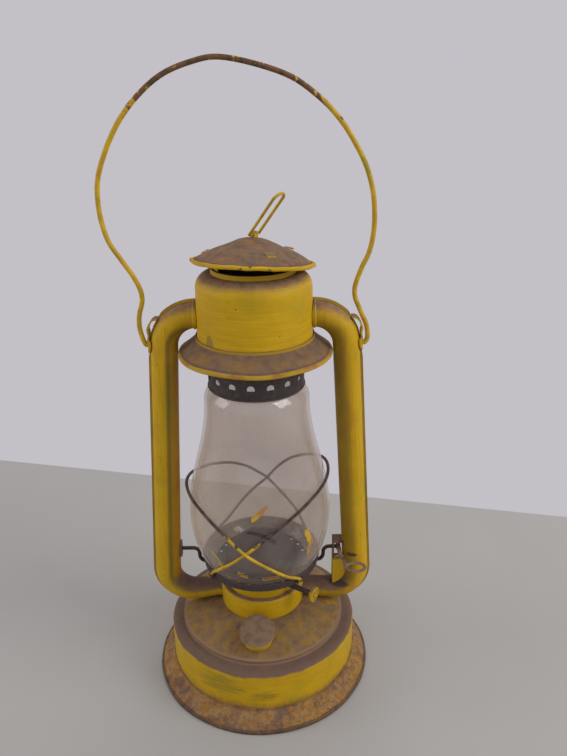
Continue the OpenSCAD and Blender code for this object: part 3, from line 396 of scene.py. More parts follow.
def tank_marks(f, look, coat, streak):
    """A dull band of dust round the rim, ochre on the dome, painted highlights in paler yellow below the tubes and a
    scuffed side.
    """
    rim = f.reach.band(61.5, 68.5, 1.5) * f.z.between(39, 42)
    cloud = f.noise(7, 5.0, seed=71.0)
    dome = (1 - f.reach.between(59, 60.5)) * f.z.between(44, 46)
    coat = f.mix(dome * cloud.between(0.35, 0.7) * 0.45, coat, look.paint_deep)
    coat = f.mix(dome * 0.3, coat, look.grease_and_shade)
    coat = f.mix(dome * f.patches(2.4, 0.62, 0.7, 3.0, seed=72.0) * 0.6, coat, look.rust_dark)
    coat = f.mix(rim * (0.6 + cloud * 0.4), coat, f.mix(0.3, look.dust_dark, look.soot))
    coat = f.mix(f.reach.band(59.8, 61.3, 0.6) * f.z.between(43, 45) * 0.8, coat, look.dust)
    # Painted highlight: paler yellow patches on the dusty dome beside the tubes' feet.
    for centre, radii in (((48, -4, 50), (14, 6, 8)), ((-50, 3, 50), (14, 6, 8))):
        foot_highlight = (f.spot(centre, radii) + (cloud - 0.5) * 1.2).between(0.3, 0.8)
        coat = f.mix(foot_highlight * 0.5, coat, look.paint_deep)
    side = 1 - f.z.between(38, 41)
    scuff = f.spot((-30, -62, 30), (34, 22, 14)).most(f.spot((2, -70, 24), (18, 12, 7)))
    scuff = (scuff * 0.5 + (streak - 0.5) * 1.6 + (cloud - 0.5) * 0.5).between(0.2, 0.5) * side
    coat = f.mix(scuff * 0.55, coat, f.mix(cloud, look.grease_and_shade, look.paint_green))
    fade = (f.z + (cloud - 0.5) * 5).between(39.5, 42.5) * f.reach.between(67, 69)
    return f.mix(fade * 0.85, coat, look.dust_dark)


def bracket_marks(f, look, coat, streak):
    """Bare and dusty at the crank, painted below it."""
    high = (f.z + (streak - 0.5) * 4).between(90, 93)
    return f.mix(high * 0.95, coat, f.mix(f.patches(4, 0.4, 0.6, 4.0, seed=81.0), look.rust_dark, look.dust_dark))


def cap_marks(f, look, coat, streak):
    """Dust all over the cap's face, and a yellow rim."""
    face = f.up.between(0.35, 0.7)
    brown = f.mix(f.patches(4, 0.4, 0.7, 4.0, seed=85.0), look.dust, look.dust_dark)
    return f.mix(face * 0.9, coat, f.mix(0.25, brown, look.grease_and_shade))


def rusty_base(name):
    """The base flange: brown dust over old rust, speckled with ochre, and dark at the edge."""
    look = finish_settings()
    f = Finish(name)
    mottle = f.noise(4.5, 6.0, seed=1.0)
    broad = f.noise(22, 3.0, seed=5.0)
    grain = f.noise(0.9, 4.0, seed=11.0)
    coat = f.mix(mottle.between(0.35, 0.65), look.rust, look.dust)
    coat = f.mix(0.16 + broad.between(0.35, 0.7) * 0.14, coat, look.paint_deep)
    coat = f.mix(f.patches(9, 0.48, 0.66, 5.0, seed=23.0) * 0.65, coat, look.rust_dark)
    right = f.x.between(-40, 60) * (1 - f.y.between(-60, 20))
    left = f.patches(2.2, 0.46, 0.64, 6.0, seed=53.0) * (broad.between(0.4, 0.6) * 0.45 + right * 0.6)
    coat = f.mix(left * 0.5, coat, f.mix(mottle, look.undercoat, look.paint_deep))
    pits = f.patches(1.6, 0.58, 0.66, 3.0, seed=61.0)
    coat = f.mix(pits * 0.6, coat, look.rust_dark)
    edge = f.reach.between(79, 80.5)
    coat = f.mix(edge * 0.6, coat, look.soot)
    height = mottle * 0.5 + grain * 0.35 + left * 0.5 - pits * 0.6
    return f.done(f.shader(coat, 0.72 + grain * 0.25, 0.0, f.relief(height, 0.2), Specular_IOR_Level=0.3))


def sooty_steel(name, brown=0.35, metal=0.35, dusty=0.6):
    """Dark, dry steel with brown rust and dust."""
    look = finish_settings()
    f = Finish(name)
    mottle = f.noise(5, 5.0, seed=2.0)
    grain = f.noise(0.8, 4.0, seed=6.0)
    coat = f.mix(mottle.between(0.35, 0.7) * brown, look.soot, look.rust_dark)
    coat = f.mix(f.patches(3, 0.58, 0.66, 4.0, seed=14.0) * brown, coat, look.rust)
    dust = (f.up + (mottle - 0.5) * 0.8).between(0.3, 0.9) * dusty
    coat = f.mix(dust, coat, look.dust)
    rough = 0.5 + grain * 0.25 + dust * 0.2
    return f.done(f.shader(coat, rough, metal * (1 - dust), f.relief(mottle * 0.4 + grain * 0.6, 0.12)))


def worn_wire(name, paint_where, left, bare=None, old=None):
    """Steel wire with what is left of its paint. paint_where makes a mask from the finish, and left is how
    much paint stays there. bare and old are the colours of the steel."""
    look = finish_settings()
    f = Finish(name)
    grain = f.noise(0.9, 4.0, seed=4.0)
    mottle = f.noise(6, 5.0, seed=18.0)
    steel = f.mix(mottle.between(0.4, 0.65), bare or look.soot, old or look.rust_dark)
    steel = f.mix(f.patches(4, 0.55, 0.62, 4.0, seed=29.0) * 0.6, steel, look.rust)
    paint = f.mix(f.noise(9, 4.0, seed=33.0).between(0.35, 0.7), look.paint_deep, look.paint)
    paint = f.mix(f.patches(8, 0.5, 0.7, 4.0, seed=38.0) * 0.6, paint, look.paint_green)
    stay = (f.noise(3.6, 6.0, seed=47.0) + (paint_where(f) - 0.5) * 0.7 + (left - 0.5)).between(0.44, 0.5)
    rough = 0.62 - stay * 0.16 + grain * 0.12
    height = stay * 0.6 + grain * 0.3
    return f.done(f.shader(f.mix(stay, steel, paint), rough, (1 - stay) * 0.3, f.relief(height, 0.12)))


def plain_metal(name, tint, dull, metal=0.8):
    """Aged metal of the hidden works."""
    f = Finish(name)
    mottle = f.noise(4, 5.0, seed=2.5)
    grain = f.noise(0.6, 3.0, seed=7.5)
    tarnish = mottle.between(0.4, 0.7)
    coat = f.mix(tarnish * 0.7, tint, dull)
    return f.done(f.shader(coat, 0.38 + tarnish * 0.3, metal, f.relief(grain * 0.5 + mottle * 0.5, 0.05)))


def woven_cotton(name):
    """The wick's flat braid."""
    f = Finish(name)
    ribs = f.node(
        "ShaderNodeTexWave", {"bands_direction": "DIAGONAL"}, {"Vector": f.at, "Scale": 0.9, "Distortion": 1.2})
    char = (f.z + f.noise(2.0) * 2).between(top_of("wick") - 2.5, top_of("wick") + 0.5)
    coat = f.mix(char, f.mix(ribs, (0.55, 0.5, 0.4), (0.72, 0.68, 0.58)), (0.02, 0.018, 0.016))
    return f.done(f.shader(coat, 0.92, 0.0, f.relief(ribs, 0.2)))


# Smears of paint on the front of the glass, the last of them a painted reflection of the yellow skirt low on the
# globe: from, to, half width in millimetres and how much of each is missing.
PAINT_SMEARS_AND_REFLECTION = [((-3, -50, 156), (6, -50, 164), 2.4, 0.4), ((33, -36, 139), (36, -36, 128), 3.0, 0.4),
                ((35, -36, 126), (34, -36, 118), 2.2, 0.5), ((-33, -34, 122), (-26, -39, 113), 1.9, 0.36),
                ((-14, -42, 110), (-9, -44, 107), 2.6, 0.5), ((3, -46, 105), (14, -44, 105), 2.2, 0.45)]


def hazy_glass(name):
    """Clear glass under a film of dust, with smears of the yellow paint and a painted reflection of the yellow skirt
    low at the front.
    """
    look = finish_settings()
    f = Finish(name)
    facing = f.node("ShaderNodeLayerWeight", None, {"Blend": 0.5}, "Facing")
    rim = facing ** 5 * 0.8 + 0.04
    cloud = f.noise(26, 4.0, seed=3.0)
    grain = f.noise(1.4, 5.0, seed=9.0)
    high = top_of("globe")
    under_ring = f.z.between(high - 42, high - 14) * 0.08
    back = f.y.between(-12, 22) * 0.24
    film = back + 0.016 + (cloud - 0.45) * 0.16 + (grain - 0.5) * 0.08 + facing ** 2 * 0.24 + under_ring
    film = film.most(0.015)
    wisp = f.noise(2.2, 6.0, seed=26.0)
    paint = None
    # The last of these smears is a painted reflection of the yellow skirt.
    for start, end, wide, cut in PAINT_SMEARS_AND_REFLECTION:
        daub_and_reflection = f.smear(start, end, (wide, 16, wide)) * 0.75 + (wisp - 0.5) * 1.5
        daub_and_reflection = daub_and_reflection.between(cut, cut + 0.16)
        paint = daub_and_reflection if paint is None else paint.most(daub_and_reflection)
    speck = f.patches(2.4, 0.72, 0.76, 2.0, seed=71.0) * 0.5
    clear = f.node("ShaderNodeBsdfTransparent", None, {"Color": (0.935, 0.91, 0.885, 1)})
    gloss = f.node("ShaderNodeBsdfGlossy", None, {"Color": (1, 1, 1, 1), "Roughness": 0.06})
    glass = f.node("ShaderNodeMixShader", None, (rim, clear, gloss))
    dirt = f.mix(speck, look.haze, look.rust)
    coat = f.shader(f.mix(paint, dirt, f.mix(cloud.between(0.45, 0.6), look.paint, look.undercoat)), 0.55)
    return f.done(f.node("ShaderNodeMixShader", None, (film.most(paint * 0.8).most(speck), glass, coat)))


def painted_low_front(f):
    """Where the guard's wires still hold paint: low at the front."""
    return (1 - (f.z + f.x * 0.1).between(130, 160)) * (1 - f.y.between(-15, 15))


def painted_low_sides(f):
    """Where the bail still holds its paint: all but the top of the bow."""
    return 1 - f.z.between(foot_of("bail") + 120, top_of("bail") - 12) * 0.8


def painted_all(f):
    return f.up * 0 + 0.75


def round_paint(name, **wear):
    return brushed_paint(name, ALONG_ROUND, **wear)


FINISHES = {
    "canopy_paint": lambda n: round_paint(n, scuffs=0.55, dust=(0.3, 0.9), patchy=0.25, marks=canopy_marks),
    "tank_paint": lambda n: round_paint(n, scuffs=0.8, dust=(0.1, 0.55), patchy=0.3,
                                        rust_below=(foot_of("tank_shell") + 1, 20), marks=tank_marks),
    "hood_paint": lambda n: round_paint(n, dust=(0.2, 0.6), patchy=0.35, marks=hood_marks),
    "brim_paint": lambda n: round_paint(n, scuffs=0.4, dust=(0.2, 0.5), patchy=0.3, marks=brim_marks),
    "cap_paint": lambda n: round_paint(n, dust=(0.1, 0.5), marks=cap_marks),
    "dusty_paint": lambda n: round_paint(n, dust=(0.1, 0.5), undercoat=0.4),
    "tube_paint": lambda n: brushed_paint(n, ALONG_UPRIGHT, 0.8, 0.45, (0.25, 0.85), 0.4, marks=tube_marks),
    "ear_paint": lambda n: brushed_paint(n, ALONG_UPRIGHT, 1.0, 0.5, (-0.2, 0.9), 0.6),
    "bracket_paint": lambda n: brushed_paint(n, ALONG_UPRIGHT, 0.8, 0.3, (0.2, 0.8), 0.5, marks=bracket_marks),
    "cup_paint": lambda n: round_paint(n, scuffs=0.5, dust=(0.5, 1.0), patchy=0.4),
    "base_rust": rusty_base,
    "ring_steel": lambda n: sooty_steel(n, 0.3, 0.1, 0.1),
    "plate_steel": lambda n: sooty_steel(n, 0.15, 0.0, 0.05),
    "wire_steel": lambda n: sooty_steel(n, 0.25, 0.3, 0.1),
    "lever_rust": lambda n: worn_wire(n, painted_all, 0.02, finish_settings().dust),
    "guard_wire": lambda n: worn_wire(n, painted_low_front, 0.3),
    "bail_wire": lambda n: worn_wire(n, painted_low_sides, 0.52, finish_settings().rust, finish_settings().grease_and_shade),
    "clip_wire": lambda n: worn_wire(n, painted_low_front, 0.05),
    "loop_wire": lambda n: worn_wire(n, painted_all, 0.62),
    "brass": lambda n: plain_metal(n, finish_settings().brass, finish_settings().rust),
    "spring_steel": lambda n: plain_metal(n, (0.35, 0.35, 0.36), finish_settings().rust_dark),
    "gasket": lambda n: plain_metal(n, (0.25, 0.15, 0.08), (0.12, 0.08, 0.05), 0.0),
    "cotton": woven_cotton,
    "glass": hazy_glass,
}


def finish(name):
    """The lantern's material of that name, made once."""
    own = "lantern_" + name
    return bpy.data.materials.get(own) or FINISHES[name](own)


def dress(node, name):
    """Puts a finish on a CAD node as it is."""
    mesh = frame["nodes"][node].data
    mesh.materials.clear()
    mesh.materials.append(finish(name))


# Shapes


def ripple(points, size, seed):
    """Wandering value of about -1 to 1 over points in millimetres, with features about size across."""
    draw = np.random.default_rng(seed)
    total = np.zeros(len(points))
    for _ in range(7):
        way = draw.normal(size=3)
        way /= np.linalg.norm(way)
        total += np.sin(points @ way * 2 * math.pi / (size * draw.uniform(0.7, 1.7)) + draw.uniform(0, 6.28))
    return total / 3.5


def dent(points, centre, radius, depth):
    """Moves points near a centre towards the axis, by depth at the middle of the dent."""
    away = np.linalg.norm(points - np.array(centre), axis=1) / radius
    push = depth * np.exp(-away ** 2 * 2.5)
    reach = np.linalg.norm(points[:, :2], axis=1)
    points[:, :2] *= (1 - push / np.maximum(reach, 1))[:, None]


def make_piece(name, points, faces, body, node, look, stands_in=True, crease=38):
    """A mesh object from points in millimetres, which rides on a body. It takes the place of the CAD node, or
    else it only adds to it."""
    mesh = bpy.data.meshes.new(name)
    mesh.from_pydata((np.asarray(points) * MM).tolist(), [], faces)
    mesh.update()
    mesh.shade_smooth()
    mesh.set_sharp_from_angle(angle=math.radians(crease))
    mesh.materials.append(finish(look))
    made = bpy.data.objects.new(name, mesh)
    bpy.context.scene.collection.objects.link(made)
    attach(made, body)
    if stands_in:
        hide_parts(node)
    return made


def outline_of(node, turn, to_axis=None):
    """Outline of a turned CAD node in radius and height, cut at one azimuth in degrees. The ends of an open
    outline lie on the axis. to_axis is a matrix that stands a tilted node upright."""
    mesh = frame["nodes"][node].data
    mesh.calc_loop_triangles()
    co = np.array([v.co for v in mesh.vertices], float) / MM
    if to_axis is not None:
        m = np.array(to_axis, float)
        co = co @ m[:3, :3].T + m[:3, 3]
    c, s = math.cos(math.radians(turn)), math.sin(math.radians(turn))
    along = co[:, 0] * c + co[:, 1] * s
    across = co[:, 1] * c - co[:, 0] * s
    cuts = []
    for t in mesh.loop_triangles:
        ends = []
        for a, b in ((0, 1), (1, 2), (2, 0)):
            i, j = t.vertices[a], t.vertices[b]
            if (across[i] > 0) != (across[j] > 0):
                k = across[i] / (across[i] - across[j])
                ends.append((along[i] + (along[j] - along[i]) * k, co[i, 2] + (co[j, 2] - co[i, 2]) * k))
        if len(ends) == 2 and ends[0][0] + ends[1][0] > 0:
            cuts.append(ends)
    return chain(cuts)


def chain(cuts):
    """Joins cut lines end to end into one line. It starts on the axis if the line is open there."""
    ends = np.array(cuts)
    flat = ends.reshape(-1, 2)
    left = set(range(len(cuts)))
    start = int(np.argmin(flat[:, 0]))
    on_axis = flat[start, 0] < 0.05
    i, side = divmod(start, 2) if on_axis else (0, 0)
    line = [ends[i, side], ends[i, 1 - side]]
    left.discard(i)
    while left:
        rest = sorted(left)
        gaps = np.linalg.norm(ends[rest] - line[-1], axis=2)
        near = int(np.argmin(gaps))
        if gaps.flat[near] > 0.2:
            break
        i, side = rest[near // 2], near % 2
        line.append(ends[i, 1 - side])
        left.discard(i)
    line = np.array(line)
    keep = np.r_[True, np.linalg.norm(np.diff(line, axis=0), axis=1) > 0.01]
    line = line[keep]
    if not on_axis and np.linalg.norm(line[0] - line[-1]) < 0.05:
        line = line[:-1]
    return line, not on_axis


def soften(line, closed, radius, step):
    """Rounds the corners of an outline and divides its long runs."""
    n = len(line)
    out = []
    for i in range(n):
        p = line[i]
        if not closed and i in (0, n - 1):
            out.append(p)
            continue
        a, b = line[i - 1] - p, line[(i + 1) % n] - p
        la, lb = np.linalg.norm(a), np.linalg.norm(b)
        bend = math.pi - math.acos(np.clip(a @ b / (la * lb), -1, 1))
        if bend < math.radians(24):
            out.append(p)
            continue
        cut = min(radius * math.tan(bend / 2), la * 0.45, lb * 0.45)
        p0, p1 = p + a / la * cut, p + b / lb * cut
        for t in (0, 0.25, 0.5, 0.75, 1):
            out.append((1 - t) ** 2 * p0 + 2 * t * (1 - t) * p + t * t * p1)
    fine = []
    for i in range(len(out) - (0 if closed else 1)):
        p, q = out[i], out[(i + 1) % len(out)]
        parts = max(1, int(math.ceil(np.linalg.norm(q - p) / step)))
        fine += [p + (q - p) * k / parts for k in range(parts)]
    if not closed:
        fine.append(out[-1])
    return np.array(fine)


def lathe(line, closed, turns):
    """Turns an outline about the axis. Ends on the axis become one point each."""
    line = np.array(line)
    angles = np.arange(turns) * 2 * math.pi / turns
    rim = line if closed else line[1:-1]
    points = np.stack([np.outer(np.cos(angles), rim[:, 0]), np.outer(np.sin(angles), rim[:, 0]),
                       np.broadcast_to(rim[:, 1], (turns, len(rim)))], axis=2).reshape(-1, 3)
    m = len(rim)
    last = m if closed else m - 1
    faces = []
    for k in range(turns):
        here, there = k * m, (k + 1) % turns * m
        faces += [(here + i, there + i, there + (i + 1) % m, here + (i + 1) % m) for i in range(last)]
    if not closed:
        poles = len(points)
        points = np.vstack([points, [[0, 0, line[0][1]], [0, 0, line[-1][1]]]])
        for k in range(turns):
            here, there = k * m, (k + 1) % turns * m
            faces.append((poles, there, here))
            faces.append((poles + 1, here + m - 1, there + m - 1))
    return points, faces


def outward(points, faces):
    """Turns the faces round if the closed mesh is inside out."""
    volume = 0.0
    for f in faces:
        for i in range(1, len(f) - 1):
            volume += np.dot(points[f[0]], np.cross(points[f[i]], points[f[i + 1]]))
    return faces if volume > 0 else [f[::-1] for f in faces]


def turned_piece(node, body, look, turn=40, turns=180, step=2.4, wear=1.0, to_axis=None, bend=None):
    """A turned sheet metal piece, from the CAD node's own outline, with soft edges and shallow dents."""
    size = sizes()
    line, closed = outline_of(node, turn, to_axis)
    line = soften(line, closed, size.edge_round / MM, step)
    points, faces = lathe(line, closed, turns)
    faces = outward(points, faces)
    depth = size.dent_depth / MM * wear
    reach = np.maximum(np.linalg.norm(points[:, :2], axis=1), 1)
    push = depth * (ripple(points, 34, 3) * 0.6 + ripple(points, 13, 8) * 0.25) * np.minimum(reach / 20, 1)
    points[:, :2] *= (1 + push / reach)[:, None]
    if bend is not None:
        bend(points)
    if to_axis is not None:
        back = np.array(to_axis.inverted(), float)
        points = points @ back[:3, :3].T + back[:3, 3]
    return make_piece(node + "_sheet", points, faces, body, node, look)


def spline(points, parts):
    """Smooth line through points, with that many parts between two of them."""
    p = np.array(points, float)
    p = np.vstack([2 * p[0] - p[1], p, 2 * p[-1] - p[-2]])
    out = []
    for i in range(1, len(p) - 2):
        a, b, c, d = p[i - 1:i + 3]
        for k in range(parts):
            t = k / parts
            out.append(0.5 * (2 * b + (c - a) * t + (2 * a - 5 * b + 4 * c - d) * t ** 2
                              + (3 * b - a - 3 * c + d) * t ** 3))
    out.append(p[-2])
    return np.array(out)


def wire(path, radius, sides=20, closed=False, flat_ends=False):
    """Round wire along a path, with rounded or flat ends."""
    path = np.array(path, float)
    n = len(path)
    ahead = np.roll(path, -1, axis=0) - np.roll(path, 1, axis=0)
    if not closed:
        ahead[0], ahead[-1] = path[1] - path[0], path[-1] - path[-2]
    ahead /= np.linalg.norm(ahead, axis=1)[:, None]
    side = np.cross(ahead[0], [0.3, 0.9, 0.2])
    side /= np.linalg.norm(side)
    rings = []
    for i in range(n):
        side = side - ahead[i] * (side @ ahead[i])
        side /= np.linalg.norm(side)
        rings.append((path[i], radius, side.copy(), ahead[i]))
    if not closed and not flat_ends:
        for a in (35, 65):
            reach = radius * math.sin(math.radians(a)) * 0.5
            r = radius * math.cos(math.radians(a))
            rings.insert(0, (path[0] - ahead[0] * reach, r, *rings[0][2:]))
            rings.append((path[-1] + ahead[-1] * reach, r, *rings[-1][2:]))
    rows = []
    angles = np.arange(sides) * 2 * math.pi / sides
    for spot, r, s, w in rings:
        t = np.cross(w, s)
        rows.append(spot + r * (np.outer(np.cos(angles), s) + np.outer(np.sin(angles), t)))
    points = np.vstack(rows)
    m = len(rings)
    faces = []
    for i in range(m if closed else m - 1):
        here, there = i * sides, (i + 1) % m * sides
        faces += [(here + k, here + (k + 1) % sides, there + (k + 1) % sides, there + k) for k in range(sides)]
    if not closed:
        faces.append(tuple(range(sides))[::-1])
        faces.append(tuple((m - 1) * sides + k for k in range(sides)))
    return points, faces


def join(*shapes):
    """Several shapes as one list of points and one of faces."""
    points, faces, base = [], [], 0
    for p, f in shapes:
        points.append(p)
        faces += [tuple(i + base for i in face) for face in f]
        base += len(p)
    return np.vstack(points), faces


def bar(start, end, radius, sides=24, bevel=0.2):
    """Straight round bar with bevelled ends."""
    start, end = np.array(start, float), np.array(end, float)
    way = (end - start) / np.linalg.norm(end - start)
    side = np.cross(way, [0.3, 0.9, 0.2])
    side /= np.linalg.norm(side)
    other = np.cross(way, side)
    angles = np.arange(sides) * 2 * math.pi / sides
    ring = np.outer(np.cos(angles), side) + np.outer(np.sin(angles), other)
    stops = [(start, radius - bevel), (start + way * bevel, radius),
             (end - way * bevel, radius), (end, radius - bevel)]
    points = np.vstack([at + ring * r for at, r in stops])
    faces = [(i + k, i + (k + 1) % sides, i + sides + (k + 1) % sides, i + sides + k)
             for i in (0, sides, 2 * sides) for k in range(sides)]
    faces += [tuple(range(sides))[::-1], tuple(3 * sides + k for k in range(sides))]
    return points, faces


def mirrored(shape):
    """The shape on the other side of the middle plane, X turned round."""
    points, faces = shape
    return points * [-1, 1, 1], [f[::-1] for f in faces]


# Tank and burner


def dented_base(points):
    """The flange is wavy at its edge and knocked in at the front."""
    reach = np.linalg.norm(points[:, :2], axis=1)
    edge = np.clip((reach - 74) / 7, 0, 1)
    points[:, 2] += np.clip(ripple(points * [1, 1, 0.2], 30, 21) * 0.5, -0.4, 0.6) * edge * (points[:, 2] > 1.2)
    dent(points, (-15, -76, 9), 7, 0.9)
    dent(points, (52, -58, 8), 6, 0.7)


def dented_tank(points):
    """A knock in the rim at the left of the front."""
    dent(points, (-46, -46, 43), 8, 1.6)
    dent(points, (-30, -62, 30), 14, 0.7)
    dent(points, (20, -66, 34), 10, 0.5)


def build_tank():
    turned_piece("base_skirt", "frame", "base_rust", 40, 220, 2.0, 0.8, None, dented_base)
    turned_piece("tank_shell", "frame", "tank_paint", 40, 220, 2.4, 1.0, None, dented_tank)
    dress("tank_bottom", "base_rust")
    dress("tank_collar", "brass")
    dress("filler_neck", "cup_paint")
    dress("cap_gasket", "gasket")
    dress("filler_cap", "cap_paint")


def build_burner():
    turned_piece("air_cup", "frame", "cup_paint", 50, 160, 2.0, 0.5)
    dress("burner_skirt", "cup_paint")
    for node in ("burner_base", "wick_tube", "wick_shaft", "wick_wheels"):
        dress(node, "brass")
    dress("shaft_bearing", "ring_steel")
    dress("wick", "cotton")
    dress("wick_knob", "cup_paint")


# Side tubes


EAR_SEAM = 0.8
EAR_T = 1.0
SLIP = 0.05


def leg_axis():
    """Upper corner and lower corner of the right tube's axis, in X and Z."""
    s = sizes()
    foot_z = foot_of("air_cup") - SLIP + s.tube_foot_r / MM + 0.5 - s.foot_dip / MM
    return np.array([s.corner_top / MM, middle_of("tube_collars")[2]]), np.array([s.corner_foot / MM, foot_z])


def tube_rings():
    """Rings of the right tube from the canopy to the air cup: centre, outward direction, radius, seam height."""
    s = sizes()
    r, leg_r, foot_r, dip = (v / MM for v in (s.tube_r, s.leg_r, s.tube_foot_r, s.foot_dip))
    bend, foot_bend, seam = s.bend_r / MM, s.foot_bend_r / MM, s.seam_h / MM
    top, foot = leg_axis()
    lean = math.atan2(foot[0] - top[0], top[1] - foot[1])
    upper = top - [bend * math.tan(math.pi / 4 - lean / 2), bend]
    lower = foot + [-foot_bend * math.tan(math.pi / 4 + lean / 2), foot_bend]
    pivot = joint_of("bail_swing")[2]
    ear_turn = math.asin((pivot + 19 - upper[1]) / (bend + r + EAR_SEAM + SLIP)) + math.radians(3)
    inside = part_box("canopy_shell")[1].x / MM - 1.8
    rings = [(np.array([x, top[1]]), np.array([0.0, 1.0]), r, seam) for x in np.linspace(inside, upper[0], 8)[:-1]]
    for a in np.linspace(math.pi / 2, lean, 31):
        way = np.array([math.cos(a), math.sin(a)])
        rings.append((upper + bend * way, way, r, seam if a > ear_turn else EAR_SEAM))
    start, end = rings[-1][0], lower + foot_bend * way
    for t in np.linspace(0, 1, 65)[1:-1]:
        at = start + (end - start) * t
        rings.append((at, way, r + (leg_r - r) * t, EAR_SEAM if at[1] > pivot - 6 else seam))
    for t in np.linspace(0, 1, 31):
        a = lean - (math.pi / 2 + lean) * t
        way = np.array([math.cos(a), math.sin(a)])
        rings.append((lower + foot_bend * way, way, leg_r - 1.2 * t * t, seam if t < 0.85 else 0.0))
    cup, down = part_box("air_cup")[1].x / MM, np.array([0.0, -1.0])
    for x, sink, wider in ((13, 0.8, 0.55), (7, 0.35, 0.2), (2.5, 0.0, 0.0), (-1.2, 0.0, 0.0)):
        last, _, wide, _ = rings[-1]
        at = np.array([cup + x, foot[1] + dip * (1 - sink)])
        for t in (1 / 3, 2 / 3, 1):
            rings.append((last + (at - last) * t, down, wide + (foot_r + wider - wide) * t, 0.0))
    return rings


def tube_shape():
    """The right tube: a round wall with a folded seam on its outer side."""
    s = sizes()
    half, wall = s.seam_t / MM / 2, s.tube_wall / MM
    around = 46
    rings = tube_rings()
    heights = np.array([g[3] for g in rings])
    heights = np.convolve(np.pad(heights, 1, mode="edge"), [0.2, 0.6, 0.2], "valid")
    outer, inner = [], []
    for i, (centre, way, r, _) in enumerate(rings):
        h = max(heights[i], 0.02)
        a0 = math.asin(half / r)
        angles = np.linspace(a0, 2 * math.pi - a0, around)
        ring = [(r * math.cos(a), r * math.sin(a)) for a in angles]
        ring += [(r + h * 0.55, -half), (r + h * 0.92, -half * 0.78), (r + h, 0.0),
                 (r + h * 0.92, half * 0.78), (r + h * 0.55, half)]
        outer.append([(centre[0] + q * way[0], p, centre[1] + q * way[1]) for q, p in ring])
        hollow = [((r - wall) * math.cos(a), (r - wall) * math.sin(a))
                  for a in np.linspace(0.07, 2 * math.pi - 0.07, around + 5)]
        inner.append([(centre[0] + q * way[0], p, centre[1] + q * way[1]) for q, p in hollow])
    m = around + 5
    n = len(rings)
    points = np.array(outer + inner).reshape(-1, 3)
    faces = []
    for i in range(n - 1):
        for k in range(m):
            l = (k + 1) % m
            faces.append((i * m + k, i * m + l, (i + 1) * m + l, (i + 1) * m + k))
            j = n * m
            faces.append((j + i * m + k, j + (i + 1) * m + k, j + (i + 1) * m + l, j + i * m + l))
    for i, flip in ((0, False), (n - 1, True)):
        for k in range(m):
            l = (k + 1) % m
            f = (i * m + k, n * m + i * m + k, n * m + i * m + l, i * m + l)
            faces.append(f[::-1] if flip else f)
    return points, outward(points, faces)


def build_tubes():
    for side, seed in (("left", 5), ("right", 9)):
        points, faces = tube_shape()
        if side == "left":
            points, faces = mirrored((points, faces))
        away = ripple(points, 26, seed) * 0.22 + ripple(points, 9, seed + 1) * 0.07
        points[:, 1] *= 1 + away * 0.02
        points[:, 1] += away * 0.5 * (np.abs(points[:, 0]) > 45)
        make_piece(side + "_tube_wall", points, faces, "frame", side + "_tube", "tube_paint", True, 30)
    dress("tube_collars", "tube_paint")
    dress("bail_ears", "ear_paint")
    dress("journal_plate", "bracket_paint")


# Canopy


def bent_brim(points):
    """The brim's edge waves a little."""
    reach = np.linalg.norm(points[:, :2], axis=1)
    edge = np.clip((reach - 41) / 10, 0, 1)
    points[:, 2] += ripple(points * [1, 1, 0.1], 34, 14) * 0.55 * edge


def build_canopy():
    turned_piece("canopy_shell", "frame", "canopy_paint", 45, 180, 2.2, 1.0)
    turned_piece("canopy_brim", "frame", "brim_paint", 45, 180, 1.6, 0.8, None, bent_brim)
    dress("chimney_spring", "spring_steel")


# Chimney and hood


def hood_axis():
    """Matrix that stands the bent hood upright on the lantern's axis, from its tilt and its edge."""
    tilt = Matrix.Rotation(math.radians(-7), 4, "X") @ Matrix.Rotation(math.radians(3), 4, "Y")
    return (Matrix.Translation((0, 0, top_of("canopy_shell") - 3 + 4.7)) @ tilt).inverted()


def worn_hood(points):
    """Shallow dents round the hood, and a rim that is no longer true."""
    reach = np.linalg.norm(points[:, :2], axis=1)
    edge = np.clip((reach - 22) / 18, 0, 1)
    points[:, 2] += ripple(points * [1, 1, 0.1], 30, 33) * 0.25 * edge
    points[:, 2] += ripple(points * [1, 1, 0.1], 11, 35) * 0.25 * np.clip(reach / 10, 0, 1)


def hood_height(r):
    """Height of the hood's outer face over its own foot, at radius r."""
    rise = 0.6 + 13 * (1 - (r / 39.8) ** 2.2)
    return rise + (3 * (1 - (r / 20) ** 2) ** 1.5 if r < 20 else 0)


def tab_end(azimuth, reach, lift, wide=7.0, long=5.5):
    """End of a chimney strap that comes up through the hood and is folded over on it."""
    place = hood_axis().inverted()
    rows = []
    for k in range(7):
        t = k / 6
        r = reach + long * (t - 0.25)
        rise = hood_height(r) + 0.05 + lift * math.sin(min(1, t * 1.3) * math.pi * (0.5 if lift > 2 else 1.0))
        for up in (0.0, 0.6):
            for j in range(5):
                w = (j / 4 - 0.5) * wide * (1 - 0.25 * t)
                a = math.radians(azimuth)
                p = Vector((r * math.cos(a) - w * math.sin(a), r * math.sin(a) + w * math.cos(a), rise + up))
                rows.append(place @ p)
    points = np.array(rows)
    faces = []
    for k in range(6):
        for j in range(4):
            low, high = k * 10 + j, k * 10 + 5 + j
            faces.append((low, low + 1, low + 11, low + 10))
            faces.append((high, high + 10, high + 11, high + 1))
        for j in (0, 4):
            low, high = k * 10 + j, k * 10 + 5 + j
            faces.append((low, high, high + 10, low + 10) if j else (low, low + 10, high + 10, high))
    for k in (0, 6):
        for j in range(4):
            low, high = k * 10 + j, k * 10 + 5 + j
            faces.append((low, high, high + 1, low + 1) if k == 0 else (low, low + 1, high + 1, high))
    return points, outward(points, faces)


